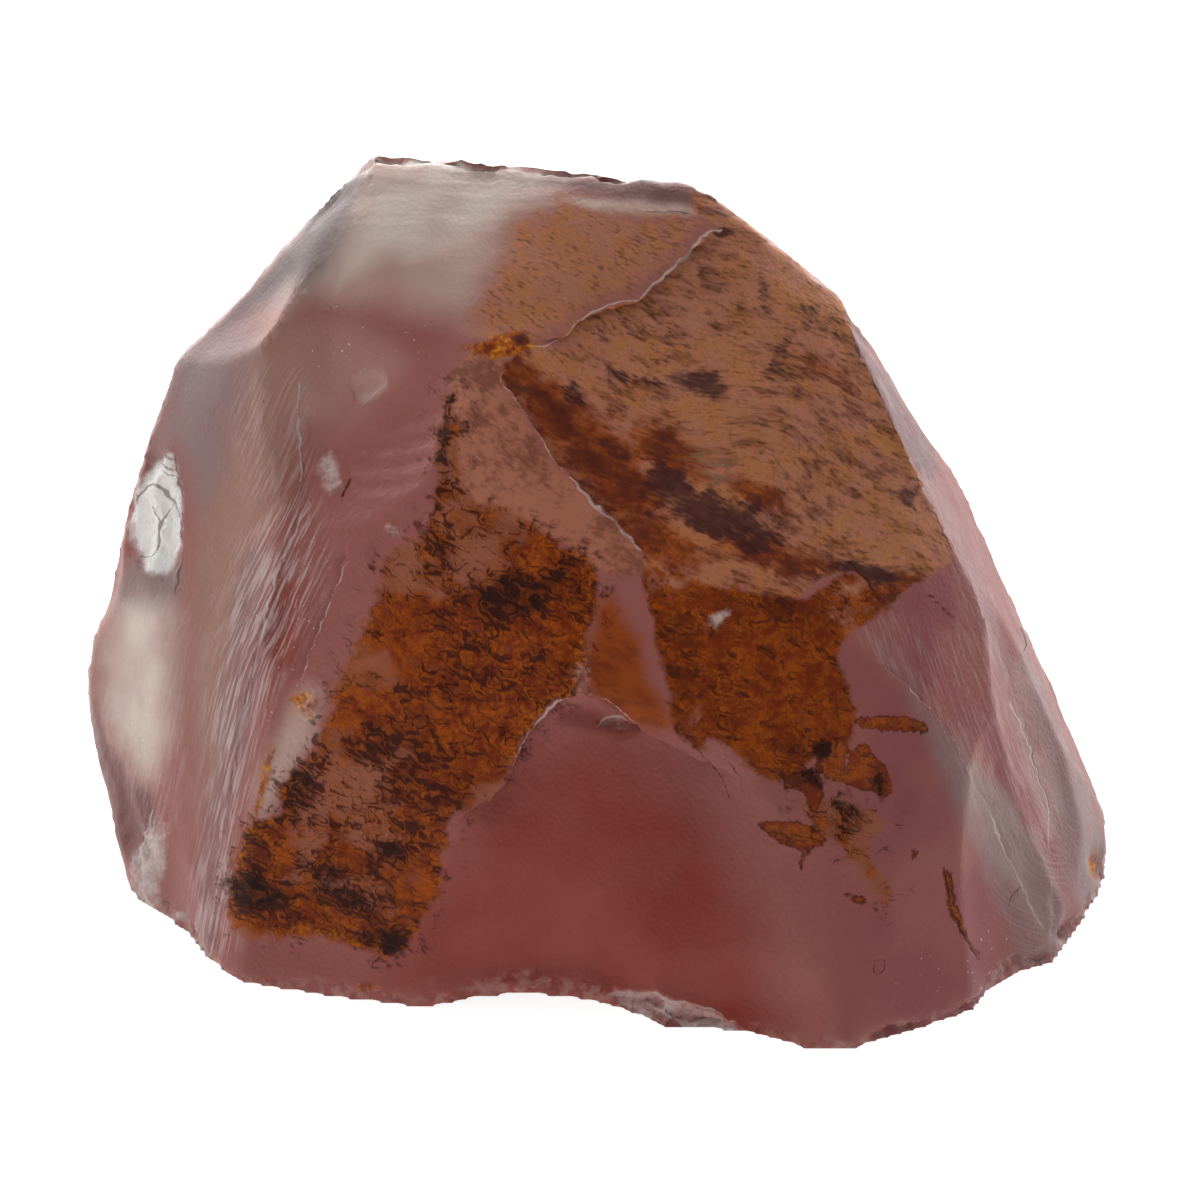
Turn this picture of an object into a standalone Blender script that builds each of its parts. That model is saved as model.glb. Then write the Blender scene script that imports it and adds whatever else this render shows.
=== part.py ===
"""A rough lump of rose quartz, broken on every side, about 82 mm long.

The lump is one solid. Its corners span a faceted block, and each shell-shaped
break in the block is a shallow bowl cut by an ellipsoid. It rests on one flat
break at z = 0. The camera side of the lump faces -Y and its long side lies
along X. Every size below is in millimetres and is turned to metres at the end.
"""
import math
from dataclasses import dataclass

import bmesh
import bpy
from mathutils import Euler, Matrix, Vector

MM = 0.001
OBJECT_NAME = "rose_quartz"
CUTTER_DETAIL = 5
SMOOTH_ANGLE = math.radians(12.0)

STONE_COLOUR = (0.30, 0.13, 0.13, 1.0)
STONE_ROUGHNESS = 0.28

# The rim of the flat break that the lump rests on, counter-clockwise from the right end.
BASE_RIM = (
    (41.7, 1.2), (39.2, 9.5), (31.5, 19.0), (17.0, 25.0), (-2.0, 26.2),
    (-20.0, 24.2), (-33.0, 17.0), (-39.0, 8.0), (-37.6, -3.2), (-34.6, -7.0),
    (-31.0, -12.4), (-27.8, -16.1), (-22.2, -17.9), (-15.0, -19.4), (5.8, -24.4),
    (12.9, -26.2), (18.5, -25.8), (23.9, -23.0), (28.2, -20.4), (32.1, -17.0),
    (35.2, -13.4), (37.9, -8.4), (40.3, -2.8),
)

# The blunt ridge along the top, from the left corner to the right one.
TOP_RIDGE = (
    (-17.4, 8.0, 58.9), (-12.2, 9.0, 59.1), (-6.1, 10.0, 58.4), (3.1, 9.5, 57.0), (7.9, 7.5, 56.4),
)

# The right shoulder, and the sharp edge that runs down from it to the right front of the base.
RIGHT_EDGE = (
    (18.1, 6.5, 48.3), (19.6, 3.5, 46.1), (23.2, -1.5, 39.1), (27.5, -4.5, 30.5),
    (30.7, -6.5, 23.8), (33.2, -8.0, 16.8), (35.8, -8.6, 10.1),
)

# The outer side of the glassy bevel behind that edge.
RIGHT_OUTLINE = (
    (28.4, 9.0, 31.6), (32.3, 9.0, 23.1), (35.6, 9.0, 16.4), (39.1, 7.0, 7.3), (41.3, 4.0, 4.0),
)

# The left outline, from the smoky upper corner down to the frosted foot.
LEFT_OUTLINE = (
    (-33.2, 7.0, 42.4), (-35.2, 6.0, 37.0), (-37.1, 5.0, 31.4), (-41.7, 6.0, 15.8),
    (-41.2, 5.0, 9.0), (-39.7, 2.0, 4.2),
)

# Corners of the front: the pale top facet, the fibrous left ridge, the stained
# face, the nose above the dark break, and the lilac ridge at the right.
FRONT_CORNERS = (
    (-17.9, 1.5, 55.9), (-22.9, -1.0, 49.4), (-22.6, -4.6, 38.0), (-20.3, -6.0, 36.1),
    (-25.5, -11.0, 19.2), (-7.1, -5.0, 46.9), (2.6, -11.0, 34.4), (19.5, -8.9, 31.8),
    (-1.8, -16.0, 25.1), (4.0, -17.2, 22.3), (16.3, -16.6, 20.7), (19.3, -12.6, 27.6),
    (25.5, -13.6, 21.4), (29.2, -14.2, 14.8), (32.4, -14.2, 7.8), (-11.2, -17.6, 15.3),
    (-14.2, -18.9, 5.5),
)

# Corners of the back, which falls from the top ridge in broad breaks.
BACK_CORNERS = (
    (-15.0, 18.0, 50.5), (-2.0, 20.5, 48.5), (9.5, 17.5, 46.5), (24.5, 18.5, 27.5),
    (-3.0, 25.2, 29.0), (-26.0, 18.5, 34.5), (-36.5, 13.0, 20.5), (34.0, 15.5, 13.5),
    (14.0, 25.0, 12.0), (-18.0, 24.6, 14.0),
)


@dataclass(frozen=True)
class Scoop:
    """One shell-shaped break: a shallow bowl in the face that it was struck from."""

    name: str
    at: tuple[float, float, float]
    azimuth: float
    elevation: float
    half_width: float
    half_length: float
    depth: float
    roll: float = 0.0


# azimuth 0 faces -Y and 90 faces +X; elevation tips the bowl's opening upwards;
# roll turns its long side from upright about that direction. Angles are in degrees.
SCOOPS = (
    Scoop("hollow_left_of_stain", (-16.8, -6.2, 41.0), -25.0, 32.0, 9.5, 13.5, 1.9, 20.0),
    Scoop("dark_front_break", (3.5, -21.0, 11.5), -4.0, 20.0, 17.0, 14.5, 1.8, 0.0),
    Scoop("bay_in_front_rim", (-3.4, -21.4, -1.0), -12.0, 8.0, 8.8, 15.0, 3.0, 0.0),
    Scoop("right_foot_notch", (40.6, -5.4, -1.0), 62.0, 0.0, 3.4, 7.0, 1.3, 0.0),
    Scoop("upper_left_kink", (-27.2, 6.0, 48.8), -62.0, 36.0, 8.0, 7.5, 1.2, 0.0),
    Scoop("left_waist", (-39.2, 4.0, 27.0), -80.0, 5.0, 9.0, 7.0, 1.5, 0.0),
    Scoop("left_foot_hollow", (-34.5, -7.6, 3.0), -50.0, 4.0, 6.0, 9.0, 1.0, 0.0),
    Scoop("right_bevel", (34.3, 1.0, 20.0), 62.0, 24.0, 6.4, 23.0, 1.0, 26.0),
    Scoop("lilac_scallop", (32.6, -10.5, 12.5), 36.0, 14.0, 4.2, 11.0, 0.7, 12.0),
    Scoop("chip_in_front_rim", (5.6, -23.4, 0.6), 4.0, 34.0, 5.6, 3.2, 0.8, 0.0),
    Scoop("pale_top_dish", (-6.0, 0.4, 52.6), 2.0, 52.0, 12.0, 5.6, 0.5, 0.0),
    Scoop("back_upper_break", (-8.0, 20.4, 41.0), 176.0, 40.0, 22.0, 17.0, 2.2, 0.0),
    Scoop("back_right_break", (22.0, 21.0, 17.0), 148.0, 20.0, 17.0, 19.0, 2.0, 10.0),
    Scoop("back_left_break", (-30.0, 18.0, 17.0), 218.0, 16.0, 15.0, 19.0, 1.8, -8.0),
)


def clear_scene() -> None:
    """Remove every object from the open file."""
    for item in list(bpy.data.objects):
        bpy.data.objects.remove(item, do_unlink=True)


def new_collection(name: str) -> bpy.types.Collection:
    """Return a new collection, linked to the scene."""
    made = bpy.data.collections.new(name)
    bpy.context.scene.collection.children.link(made)
    return made


def mesh_object(name: str, shape: bmesh.types.BMesh, home: bpy.types.Collection) -> bpy.types.Object:
    """Turn a bmesh into an object in the given collection, and free the bmesh."""
    mesh = bpy.data.meshes.new(name)
    shape.to_mesh(mesh)
    shape.free()
    made = bpy.data.objects.new(name, mesh)
    home.objects.link(made)
    return made


def corner_points() -> list[Vector]:
    """Gather all corners of the block, in metres."""
    rim = [(x, y, 0.0) for x, y in BASE_RIM]
    groups = (rim, TOP_RIDGE, RIGHT_EDGE, RIGHT_OUTLINE, LEFT_OUTLINE, FRONT_CORNERS, BACK_CORNERS)
    return [Vector(corner) * MM for group in groups for corner in group]


def block(home: bpy.types.Collection) -> bpy.types.Object:
    """Span the faceted block over its corners."""
    shape = bmesh.new()
    for point in corner_points():
        shape.verts.new(point)
    hull = bmesh.ops.convex_hull(shape, input=shape.verts)
    spare = {item for item in hull["geom_interior"] + hull["geom_unused"]
             if isinstance(item, bmesh.types.BMVert)}
    bmesh.ops.delete(shape, geom=list(spare), context="VERTS")
    bmesh.ops.recalc_face_normals(shape, faces=shape.faces)
    return mesh_object(OBJECT_NAME, shape, home)


def scoop_cutter(scoop: Scoop, home: bpy.types.Collection) -> bpy.types.Object:
    """Make the ellipsoid that leaves one bowl of the asked width, length and depth."""
    ball_radius = (scoop.half_width ** 2 + scoop.depth ** 2) / (2.0 * scoop.depth)
    stretch = scoop.half_length / scoop.half_width
    shape = bmesh.new()
    bmesh.ops.create_icosphere(shape, subdivisions=CUTTER_DETAIL, radius=ball_radius * MM)
    # The ball's opening faces -Y before it is turned, and its long side stands along Z.
    lift = Vector((0.0, -(ball_radius - scoop.depth) * MM, 0.0))
    bmesh.ops.translate(shape, verts=shape.verts, vec=lift)
    bmesh.ops.scale(shape, verts=shape.verts, vec=(1.0, 1.0, stretch))
    turn = (Euler((-math.radians(scoop.elevation), 0.0, math.radians(scoop.azimuth)), "XYZ").to_matrix()
            @ Matrix.Rotation(math.radians(scoop.roll), 3, "Y"))
    bmesh.ops.transform(shape, verts=shape.verts,
                        matrix=Matrix.Translation(Vector(scoop.at) * MM) @ turn.to_4x4())
    cutter = mesh_object("cut_" + scoop.name, shape, home)
    cutter.hide_render = True
    cutter.display_type = "WIRE"
    return cutter


def cut(lump: bpy.types.Object, cutter: bpy.types.Object) -> None:
    """Take the cutter's shape out of the lump."""
    step = lump.modifiers.new(cutter.name, "BOOLEAN")
    step.operation = "DIFFERENCE"
    step.object = cutter


def stone_material() -> bpy.types.Material:
    """Return the dusky rose of the lump."""
    made = bpy.data.materials.new("quartz")
    made.use_nodes = True
    shader = made.node_tree.nodes["Principled BSDF"]
    shader.inputs["Base Color"].default_value = STONE_COLOUR
    shader.inputs["Roughness"].default_value = STONE_ROUGHNESS
    shader.inputs["Metallic"].default_value = 0.0
    return made


def build() -> None:
    """Build the lump from its block and its breaks."""
    clear_scene()
    parts = new_collection(OBJECT_NAME)
    cutters = new_collection("cutters")
    lump = block(parts)
    lump.data.materials.append(stone_material())
    for scoop in SCOOPS:
        cut(lump, scoop_cutter(scoop, cutters))
    lump.data.shade_smooth()
    lump.data.set_sharp_from_angle(angle=SMOOTH_ANGLE)


build()
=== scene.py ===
"""A rough lump of rose quartz, rusty with iron films, on a plain pale studio floor.

The lump is one natural piece. It starts from a copy of the CAD node's mesh, which is remeshed finely, and
its steps, chips, ripples, fibres and crumbled rims are real relief. The films are painted by the material,
which reads where they lie from named fields kept on the mesh's points. Those fields come from a few short
outlines, traced on the photograph and laid on the stone from the photograph's viewpoint.
"""
from __future__ import annotations

import logging
import math
from dataclasses import dataclass
from enum import Enum
from typing import Mapping, Sequence, Union

import bmesh
import bpy
import numpy as np
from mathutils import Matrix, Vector


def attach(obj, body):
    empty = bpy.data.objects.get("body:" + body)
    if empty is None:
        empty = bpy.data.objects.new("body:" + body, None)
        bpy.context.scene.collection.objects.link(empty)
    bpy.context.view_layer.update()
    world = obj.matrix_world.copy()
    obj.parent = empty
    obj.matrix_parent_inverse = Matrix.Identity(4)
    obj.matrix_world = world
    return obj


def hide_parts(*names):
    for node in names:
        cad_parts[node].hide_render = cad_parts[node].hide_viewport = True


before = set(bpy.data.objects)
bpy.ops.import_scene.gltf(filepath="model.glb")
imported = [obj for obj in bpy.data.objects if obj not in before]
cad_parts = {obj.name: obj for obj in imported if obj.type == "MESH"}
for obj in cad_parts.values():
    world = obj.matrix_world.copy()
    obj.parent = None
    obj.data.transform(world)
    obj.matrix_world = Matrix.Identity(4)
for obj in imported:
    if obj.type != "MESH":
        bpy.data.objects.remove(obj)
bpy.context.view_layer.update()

Point = tuple[float, float]
Points = tuple[Point, ...]
Colour = tuple[float, float, float]
Value = Union["Wire", float]

MM = 0.001
STONE_NODE = "rose_quartz"
OUTSIDE = -60.0
TABLE_SIDE = 64
RANDOM_TABLE = np.random.default_rng(20).random(TABLE_SIDE ** 3)
LOG = logging.getLogger("rose_quartz")


def shade(red: int, green: int, blue: int) -> Colour:
    """Turns a colour as seen on a screen into the linear light that Blender works in.

    Args:
        red: Red, 0 to 255.
        green: Green, 0 to 255.
        blue: Blue, 0 to 255.

    Returns:
        The linear colour.
    """
    return tuple(((part / 255.0 + 0.055) / 1.055) ** 2.4 for part in (red, green, blue))


def ease(values: np.ndarray, low: float, high: float) -> np.ndarray:
    """Rises smoothly from 0 at low to 1 at high.

    Args:
        values: The numbers to ease.
        low: Where the rise starts.
        high: Where it ends.

    Returns:
        Numbers between 0 and 1.
    """
    part = np.clip((values - low) / (high - low), 0.0, 1.0)
    return part * part * (3.0 - 2.0 * part)


def lattice(corner: np.ndarray, shift: int = 0) -> np.ndarray:
    """Looks up the seeded random number that belongs to each corner of a grid.

    Args:
        corner: Whole coordinates, in three columns.
        shift: Picks another number for the same corner.

    Returns:
        Numbers from 0 to 1.
    """
    wrapped = corner.astype(np.int64) & (TABLE_SIDE - 1)
    place = (wrapped[:, 0] * TABLE_SIDE + wrapped[:, 1]) * TABLE_SIDE + wrapped[:, 2]
    return RANDOM_TABLE[(place + shift) % len(RANDOM_TABLE)]


def grain(places: np.ndarray, cell: float, seed: float, octaves: int = 1) -> np.ndarray:
    """Smooth seeded noise over points.

    Args:
        places: Points, one a row, of two or three coordinates.
        cell: Size of the noise's cells, in the points' own unit.
        seed: Sets one pattern apart from another.
        octaves: How many finer layers are added, each half as strong.

    Returns:
        Noise of about -1 to 1, one number a point.
    """
    spots = places if places.shape[1] == 3 else np.column_stack((places, np.zeros(len(places))))
    total = np.zeros(len(spots))
    reach = 0.0
    for octave in range(octaves):
        strength = 0.5 ** octave
        scaled = spots / cell * 2.0 ** octave + seed * 17.3 + octave * 5.7
        corner = np.floor(scaled)
        part = scaled - corner
        part = part * part * (3.0 - 2.0 * part)
        near_x, near_y, near_z = (1.0 - part).T
        far_x, far_y, far_z = part.T
        layer = np.zeros(len(spots))
        for x, weight_x in enumerate((near_x, far_x)):
            for y, weight_y in enumerate((near_y, far_y)):
                for z, weight_z in enumerate((near_z, far_z)):
                    layer += weight_x * weight_y * weight_z * lattice(corner + (x, y, z), int(seed * 911))
        total += strength * (2.0 * layer - 1.0)
        reach += strength
    return total / reach * 1.25


def shells(places: np.ndarray, cell: float, seed: int, reach: float = 0.8) -> np.ndarray:
    """Seeded shell-shaped bites scattered over space.

    Args:
        places: Points, one a row, of three coordinates.
        cell: The usual distance between bites, in the points' own unit.
        seed: Sets one pattern apart from another.
        reach: A bite's radius as a part of the cell.

    Returns:
        Each bite's depth at each point, 0 to 1, with sharp rims between bites.
    """
    scaled = places / cell + seed * 3.7
    home = np.floor(scaled)
    deepest = np.zeros(len(places))
    for offset in np.ndindex(3, 3, 3):
        corner = home + np.array(offset) - 1.0
        jitter = np.column_stack([lattice(corner, seed * 31 + 977 * axis) for axis in range(3)])
        away = np.linalg.norm(scaled - corner - jitter, axis=1) / reach
        size = lattice(corner, seed * 31 + 5003)
        deepest = np.maximum(deepest, size * np.clip(1.0 - away ** 2, 0.0, None))
    return deepest


class Mark(Enum):
    """The fields that the mesh's points carry for the finish."""

    FRONT = "front"
    CREST = "crest"
    HOLLOW = "hollow"
    TOP_SHEET = "top_sheet"
    BROAD_SHEET = "broad_sheet"
    AMBER = "amber"
    MOTTLED = "mottled"
    NET = "net"
    ORANGE = "orange"
    FLAKES = "flakes"
    GOLD = "gold"
    EMBER = "ember"
    SOOT = "soot"
    PALE_AND_LIT = "cream"
    SMOKY_AND_SHADE = "smoky"
    WARM = "warm"
    LILAC = "lilac"
    DEEP_TONE_AND_SHADE = "deep"
    CLEAR = "clear"
    FROST = "frost"
    STREAKS = "streaks"
    GLINTS_AND_STRANDS = "sparks"
    LEDGE_HIGHLIGHTS = "bright_lines"
    DARK_LINES = "dark_lines"
    RUST_LINES = "rust_lines"
    FLOW_ACROSS = "flow_across"
    FLOW_ALONG = "flow_along"
    CLOUD = "cloud"
    WISP = "wisp"
    HIDDEN = "hidden"
    PAINTED_SHADE = "slate"
    MOTTLE = "mottle"
    DENSE = "dense"
    DRIFT = "drift"


FIELD_GROUPS: Mapping[str, tuple[Mark, Mark, Mark]] = {
    "sheets": (Mark.TOP_SHEET, Mark.BROAD_SHEET, Mark.MOTTLED),
    "patches": (Mark.AMBER, Mark.ORANGE, Mark.NET),
    "crusts": (Mark.FLAKES, Mark.GOLD, Mark.HIDDEN),
    "stains": (Mark.EMBER, Mark.SOOT, Mark.FROST),
    "lines": (Mark.LEDGE_HIGHLIGHTS, Mark.DARK_LINES, Mark.RUST_LINES),
    "flow": (Mark.FLOW_ACROSS, Mark.FLOW_ALONG, Mark.STREAKS),
    "clouds": (Mark.MOTTLE, Mark.DENSE, Mark.DRIFT),
    "gloss": (Mark.CLEAR, Mark.CREST, Mark.GLINTS_AND_STRANDS),
}
BODY_LAYER = "stone_colour"


@dataclass(frozen=True)
class Viewpoint:
    """Where the photograph was taken from, and how the stone lands on it."""

    aim_height: float = 25.0 * MM
    distance: float = 261.0 * MM
    elevation: float = math.radians(25.0)
    lens_mm: float = 100.0
    sensor_mm: float = 36.0
    frame_px: float = 1200.0

    @property
    def toward_camera(self) -> np.ndarray:
        """The direction from the stone to the camera."""
        return np.array((0.0, -math.cos(self.elevation), math.sin(self.elevation)))

    @property
    def picture_up(self) -> np.ndarray:
        """The direction in space that is up in the photograph."""
        return np.array((0.0, math.sin(self.elevation), math.cos(self.elevation)))

    def pixels(self, places: np.ndarray) -> np.ndarray:
        """Finds where points of the stone land on the photograph.

        Args:
            places: Points in metres, one a row.

        Returns:
            Pixels across and down, one pair a row.
        """
        from_aim = places - np.array((0.0, 0.0, self.aim_height))
        depth = self.distance - from_aim @ self.toward_camera
        scale = self.lens_mm / self.sensor_mm * self.frame_px / depth
        across = self.frame_px / 2.0 + from_aim[:, 0] * scale
        down = self.frame_px / 2.0 - (from_aim @ self.picture_up) * scale
        return np.column_stack((across, down))

    def place_camera(self) -> bpy.types.Object:
        """Makes the camera and sets it as the scene's.

        Returns:
            The camera.
        """
        lens = bpy.data.cameras.new("studio_camera")
        lens.lens = self.lens_mm
        lens.sensor_width = self.sensor_mm
        lens.clip_start = 10.0 * MM
        lens.clip_end = 20.0
        camera = bpy.data.objects.new("studio_camera", lens)
        bpy.context.scene.collection.objects.link(camera)
        toward = Vector(self.toward_camera)
        camera.location = Vector((0.0, 0.0, self.aim_height)) + toward * self.distance
        camera.rotation_euler = toward.to_track_quat("Z", "Y").to_euler()
        bpy.context.scene.camera = camera
        return camera


@dataclass(frozen=True)
class Trace:
    """A line or an outline drawn on the photograph, in its pixels."""

    points: Points
    width: float = 2.0
    cuts: int = 4

    def _legs(self, closed: bool) -> tuple[np.ndarray, np.ndarray]:
        """Start points and steps of the trace's legs, once its corners are rounded into a curve."""
        drawn = np.array(self.points, float)
        count = len(drawn)
        order = np.arange(-1, count + 2) % count if closed else np.clip(np.arange(-1, count + 1), 0, count - 1)
        four = [drawn[order[k:len(order) - 3 + k]] for k in range(4)]
        rows = []
        for part in np.arange(self.cuts) / self.cuts:
            pull = 0.5 * ((four[2] - four[0]) * part + (2 * four[0] - 5 * four[1] + 4 * four[2] - four[3]) * part ** 2
                          + (3 * four[1] - four[0] - 3 * four[2] + four[3]) * part ** 3)
            rows.append(four[1] + pull)
        curve = np.stack(rows, axis=1).reshape(-1, 2)
        curve = np.vstack((curve, drawn[:1] if closed else drawn[-1:]))
        return curve[:-1], np.diff(curve, axis=0)

    def _close(self, spots: np.ndarray, limit: float) -> np.ndarray:
        """The numbers of the spots that lie within a limit of the trace's box."""
        drawn = np.array(self.points, float)
        low, high = drawn.min(axis=0) - limit, drawn.max(axis=0) + limit
        return np.flatnonzero(((spots > low) & (spots < high)).all(axis=1))

    def inside(self, spots: np.ndarray) -> np.ndarray:
        """Measures how far spots are inside the closed outline.

        Args:
            spots: Pixels, one pair a row.

        Returns:
            Pixels to the outline, positive inside it and negative outside it, at most 60.
        """
        result = np.full(len(spots), OUTSIDE)
        chosen = self._close(spots, -OUTSIDE)
        near = spots[chosen]
        nearest = np.full(len(near), -OUTSIDE)
        within = np.zeros(len(near), bool)
        for start, step in zip(*self._legs(closed=True)):
            rel = near - start
            part = np.clip(rel @ step / (step @ step), 0.0, 1.0)
            gap = rel - part[:, None] * step
            nearest = np.minimum(nearest, np.hypot(gap[:, 0], gap[:, 1]))
            end = start + step
            crosses = (start[1] > near[:, 1]) != (end[1] > near[:, 1])
            if step[1]:
                reach = start[0] + step[0] * (near[:, 1] - start[1]) / step[1]
                within ^= crosses & (near[:, 0] < reach)
        result[chosen] = np.where(within, nearest, -nearest)
        return result

    def beside(self, spots: np.ndarray, limit: float = 4000.0) -> tuple[np.ndarray, np.ndarray, np.ndarray]:
        """Measures where spots lie beside the open line.

        Args:
            spots: Pixels, one pair a row.
            limit: How far from the line's box spots are measured. Beyond it the distance is the limit.

        Returns:
            The distance to the line, the side (1 or -1), and the part of the line's length, 0 to 1, at the
            nearest place on it.
        """
        starts, steps = self._legs(closed=False)
        lengths = np.hypot(steps[:, 0], steps[:, 1])
        whole = lengths.sum()
        chosen = self._close(spots, limit)
        near = spots[chosen]
        nearest = np.full(len(near), limit)
        side = np.ones(len(near))
        along = np.zeros(len(near))
        passed = 0.0
        for start, step, length in zip(starts, steps, lengths):
            rel = near - start
            part = np.clip(rel @ step / length ** 2, 0.0, 1.0)
            gap = rel - part[:, None] * step
            away = np.hypot(gap[:, 0], gap[:, 1])
            closer = away < nearest
            turn = step[0] * rel[:, 1] - step[1] * rel[:, 0]
            nearest = np.where(closer, away, nearest)
            side = np.where(closer, np.where(turn >= 0.0, 1.0, -1.0), side)
            along = np.where(closer, (passed + part * length) / whole, along)
            passed += length
        result = (np.full(len(spots), limit), np.ones(len(spots)), np.zeros(len(spots)))
        for whole_field, part_field in zip(result, (nearest, side, along)):
            whole_field[chosen] = part_field
        return result

    @property
    def length(self) -> float:
        """The open line's length in pixels."""
        return float(np.hypot(*self._legs(closed=False)[1].T).sum())


@dataclass(frozen=True)
class Tint:
    """A soft-edged area of one body colour."""

    points: Points
    soft: float = 30.0
    strength: float = 1.0

    def weight(self, spots: np.ndarray) -> np.ndarray:
        """How strongly the tint holds at spots, 0 to its strength."""
        return self.strength * ease(Trace(self.points).inside(spots), -self.soft, self.soft)


@dataclass(frozen=True)
class Blot:
    """A small oval mark."""

    centre: Point
    half_length: float
    half_width: float
    angle: float = 0.0
    strength: float = 1.0

    def local(self, spots: np.ndarray) -> np.ndarray:
        """Coordinates of spots in the oval, whose rim is at distance 1."""
        turn = math.radians(self.angle)
        rel = spots - np.array(self.centre)
        along = rel[:, 0] * math.cos(turn) + rel[:, 1] * math.sin(turn)
        across = rel[:, 1] * math.cos(turn) - rel[:, 0] * math.sin(turn)
        return np.column_stack((along / self.half_length, across / self.half_width))

    def weight(self, spots: np.ndarray) -> np.ndarray:
        """How strong the mark is at spots, fading out at 1.6 times its size."""
        away = np.hypot(*self.local(spots).T) + 0.35 * grain(spots, 13.0, 51.0, 2)
        return self.strength * (1.0 - ease(away, 0.4, 1.6))


@dataclass(frozen=True)
class Chip:
    """A shallow shell-shaped bite out of the surface."""

    centre: Point
    half_length: float
    half_width: float
    angle: float
    depth: float
    wobble: float = 0.18

    def relief(self, spots: np.ndarray) -> np.ndarray:
        """Millimetres that the bite lowers the surface at spots, as negative numbers."""
        oval = Blot(self.centre, self.half_length, self.half_width, self.angle).local(spots)
        away = np.hypot(oval[:, 0], oval[:, 1]) + self.wobble * grain(spots, 9.0, self.depth * 7.0, 2)
        ripple = 0.06 * np.sin(away * 15.0)
        return -self.depth * np.clip(1.0 - away ** 2 + ripple * (away < 0.95), 0.0, None)


@dataclass(frozen=True)
class Step:
    """A broken edge where one side of a line lies lower than the other."""

    line: Trace
    depth: float
    reach: float
    low_side: float = 1.0
    taper: float = 0.15

    def relief(self, spots: np.ndarray) -> np.ndarray:
        """Millimetres that the step lowers the surface at spots, as negative numbers."""
        away, side, along = self.line.beside(spots, 5.0 * self.reach)
        ends = ease(along, 0.0, self.taper) * (1.0 - ease(along, 1.0 - self.taper, 1.0))
        past = away > 0.0
        fall = np.exp(-away / self.reach) * (side == self.low_side) * past
        return -self.depth * fall * ends


# The photograph's films, tints and lines, in its pixels.

FILMS: Mapping[Mark, tuple[Points, ...]] = {
    Mark.TOP_SHEET: ((
        (512, 208), (540, 203), (562, 194), (600, 205), (650, 210), (692, 211), (712, 222), (722, 230),
        (703, 234), (695, 243), (688, 253), (674, 266), (640, 297), (608, 306), (587, 314), (570, 331),
        (550, 345), (520, 349), (480, 338), (466, 318), (478, 290), (494, 262), (503, 238),
    ),),
    Mark.BROAD_SHEET: ((
        (700, 180), (740, 205), (790, 240), (850, 300), (850, 322), (864, 358), (879, 394), (900, 433),
        (930, 500), (952, 552), (935, 570), (905, 590), (892, 606), (872, 588), (858, 572), (820, 580),
        (790, 600), (740, 590), (690, 590), (650, 570), (640, 548), (600, 508), (572, 480), (548, 452),
        (535, 431), (518, 408), (504, 383), (506, 366), (531, 347), (550, 345), (570, 331), (587, 314),
        (608, 306), (640, 297), (674, 266), (688, 253), (695, 243), (703, 234), (722, 230), (712, 222),
        (690, 205),
    ),),
    Mark.AMBER: ((
        (598, 600), (612, 596), (626, 618), (640, 640), (648, 676), (664, 700), (676, 730), (640, 728),
        (615, 712), (585, 690), (582, 660), (594, 626),
    ),),
    Mark.MOTTLED: ((
        (468, 345), (506, 352), (505, 384), (520, 410), (548, 452), (572, 480), (600, 508), (640, 550),
        (645, 575), (600, 575), (560, 545), (500, 520), (455, 520), (442, 480), (437, 440), (444, 400),
        (455, 370),
    ),),
    Mark.NET: ((
        (448, 392), (440, 430), (436, 470), (432, 520), (408, 545), (385, 560), (372, 610), (350, 650),
        (336, 690), (330, 716), (316, 745), (296, 770), (280, 786), (280, 812), (248, 826), (232, 872), (228, 905),
        (240, 932), (270, 938), (310, 934), (350, 945), (390, 957), (412, 942), (438, 895), (445, 850),
        (450, 820), (500, 790), (520, 745), (545, 710), (580, 690), (583, 655), (597, 610), (592, 562),
        (560, 545), (520, 515), (470, 500), (458, 450), (460, 400),
    ), (
        (798, 796), (830, 798), (866, 808), (886, 826), (868, 842), (872, 862), (892, 886), (886, 905),
        (868, 886), (850, 856), (836, 840), (814, 828),
    )),
    Mark.ORANGE: ((
        (645, 570), (700, 585), (745, 590), (790, 598), (822, 592), (850, 572), (890, 600), (875, 618),
        (850, 640), (838, 660), (850, 690), (858, 712), (850, 742), (822, 752), (800, 775), (770, 780),
        (740, 760), (715, 740), (700, 752), (672, 728), (668, 690), (655, 640),
    ),),
    Mark.FLAKES: (
        ((852, 756), (866, 744), (876, 760), (888, 770), (891, 796), (870, 792), (848, 780)),
        ((816, 742), (830, 738), (848, 744), (846, 766), (858, 786), (838, 780), (820, 772)),
        ((780, 766), (800, 762), (820, 778), (824, 800), (812, 812), (800, 790), (784, 786)),
        ((756, 826), (784, 821), (812, 828), (828, 840), (814, 846), (806, 858), (802, 874), (799, 872),
         (800, 852), (778, 842)),
        ((856, 722), (872, 717), (894, 714), (910, 718), (928, 731), (912, 734), (890, 729), (868, 730)),
        ((838, 892), (852, 893), (868, 901), (858, 904)),
        ((911, 854), (920, 850), (915, 862)),
        ((945, 868), (952, 880), (956, 902), (966, 932), (982, 958), (968, 942), (950, 912), (946, 890)),
        ((920, 590), (930, 596), (946, 608), (954, 618), (936, 604)),
    ),
    Mark.GOLD: (
        ((462, 346), (480, 342), (500, 334), (524, 331), (534, 346), (522, 356), (498, 358), (478, 355)),
        ((290, 700), (304, 690), (318, 694), (323, 706), (314, 711), (320, 725), (306, 717), (299, 707)),
        ((268, 752), (276, 748), (262, 800), (256, 822), (254, 806)),
        ((356, 985), (372, 983), (380, 989), (360, 992)),
        ((1096, 848), (1106, 858), (1104, 880), (1094, 874)),
    ),
}

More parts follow.
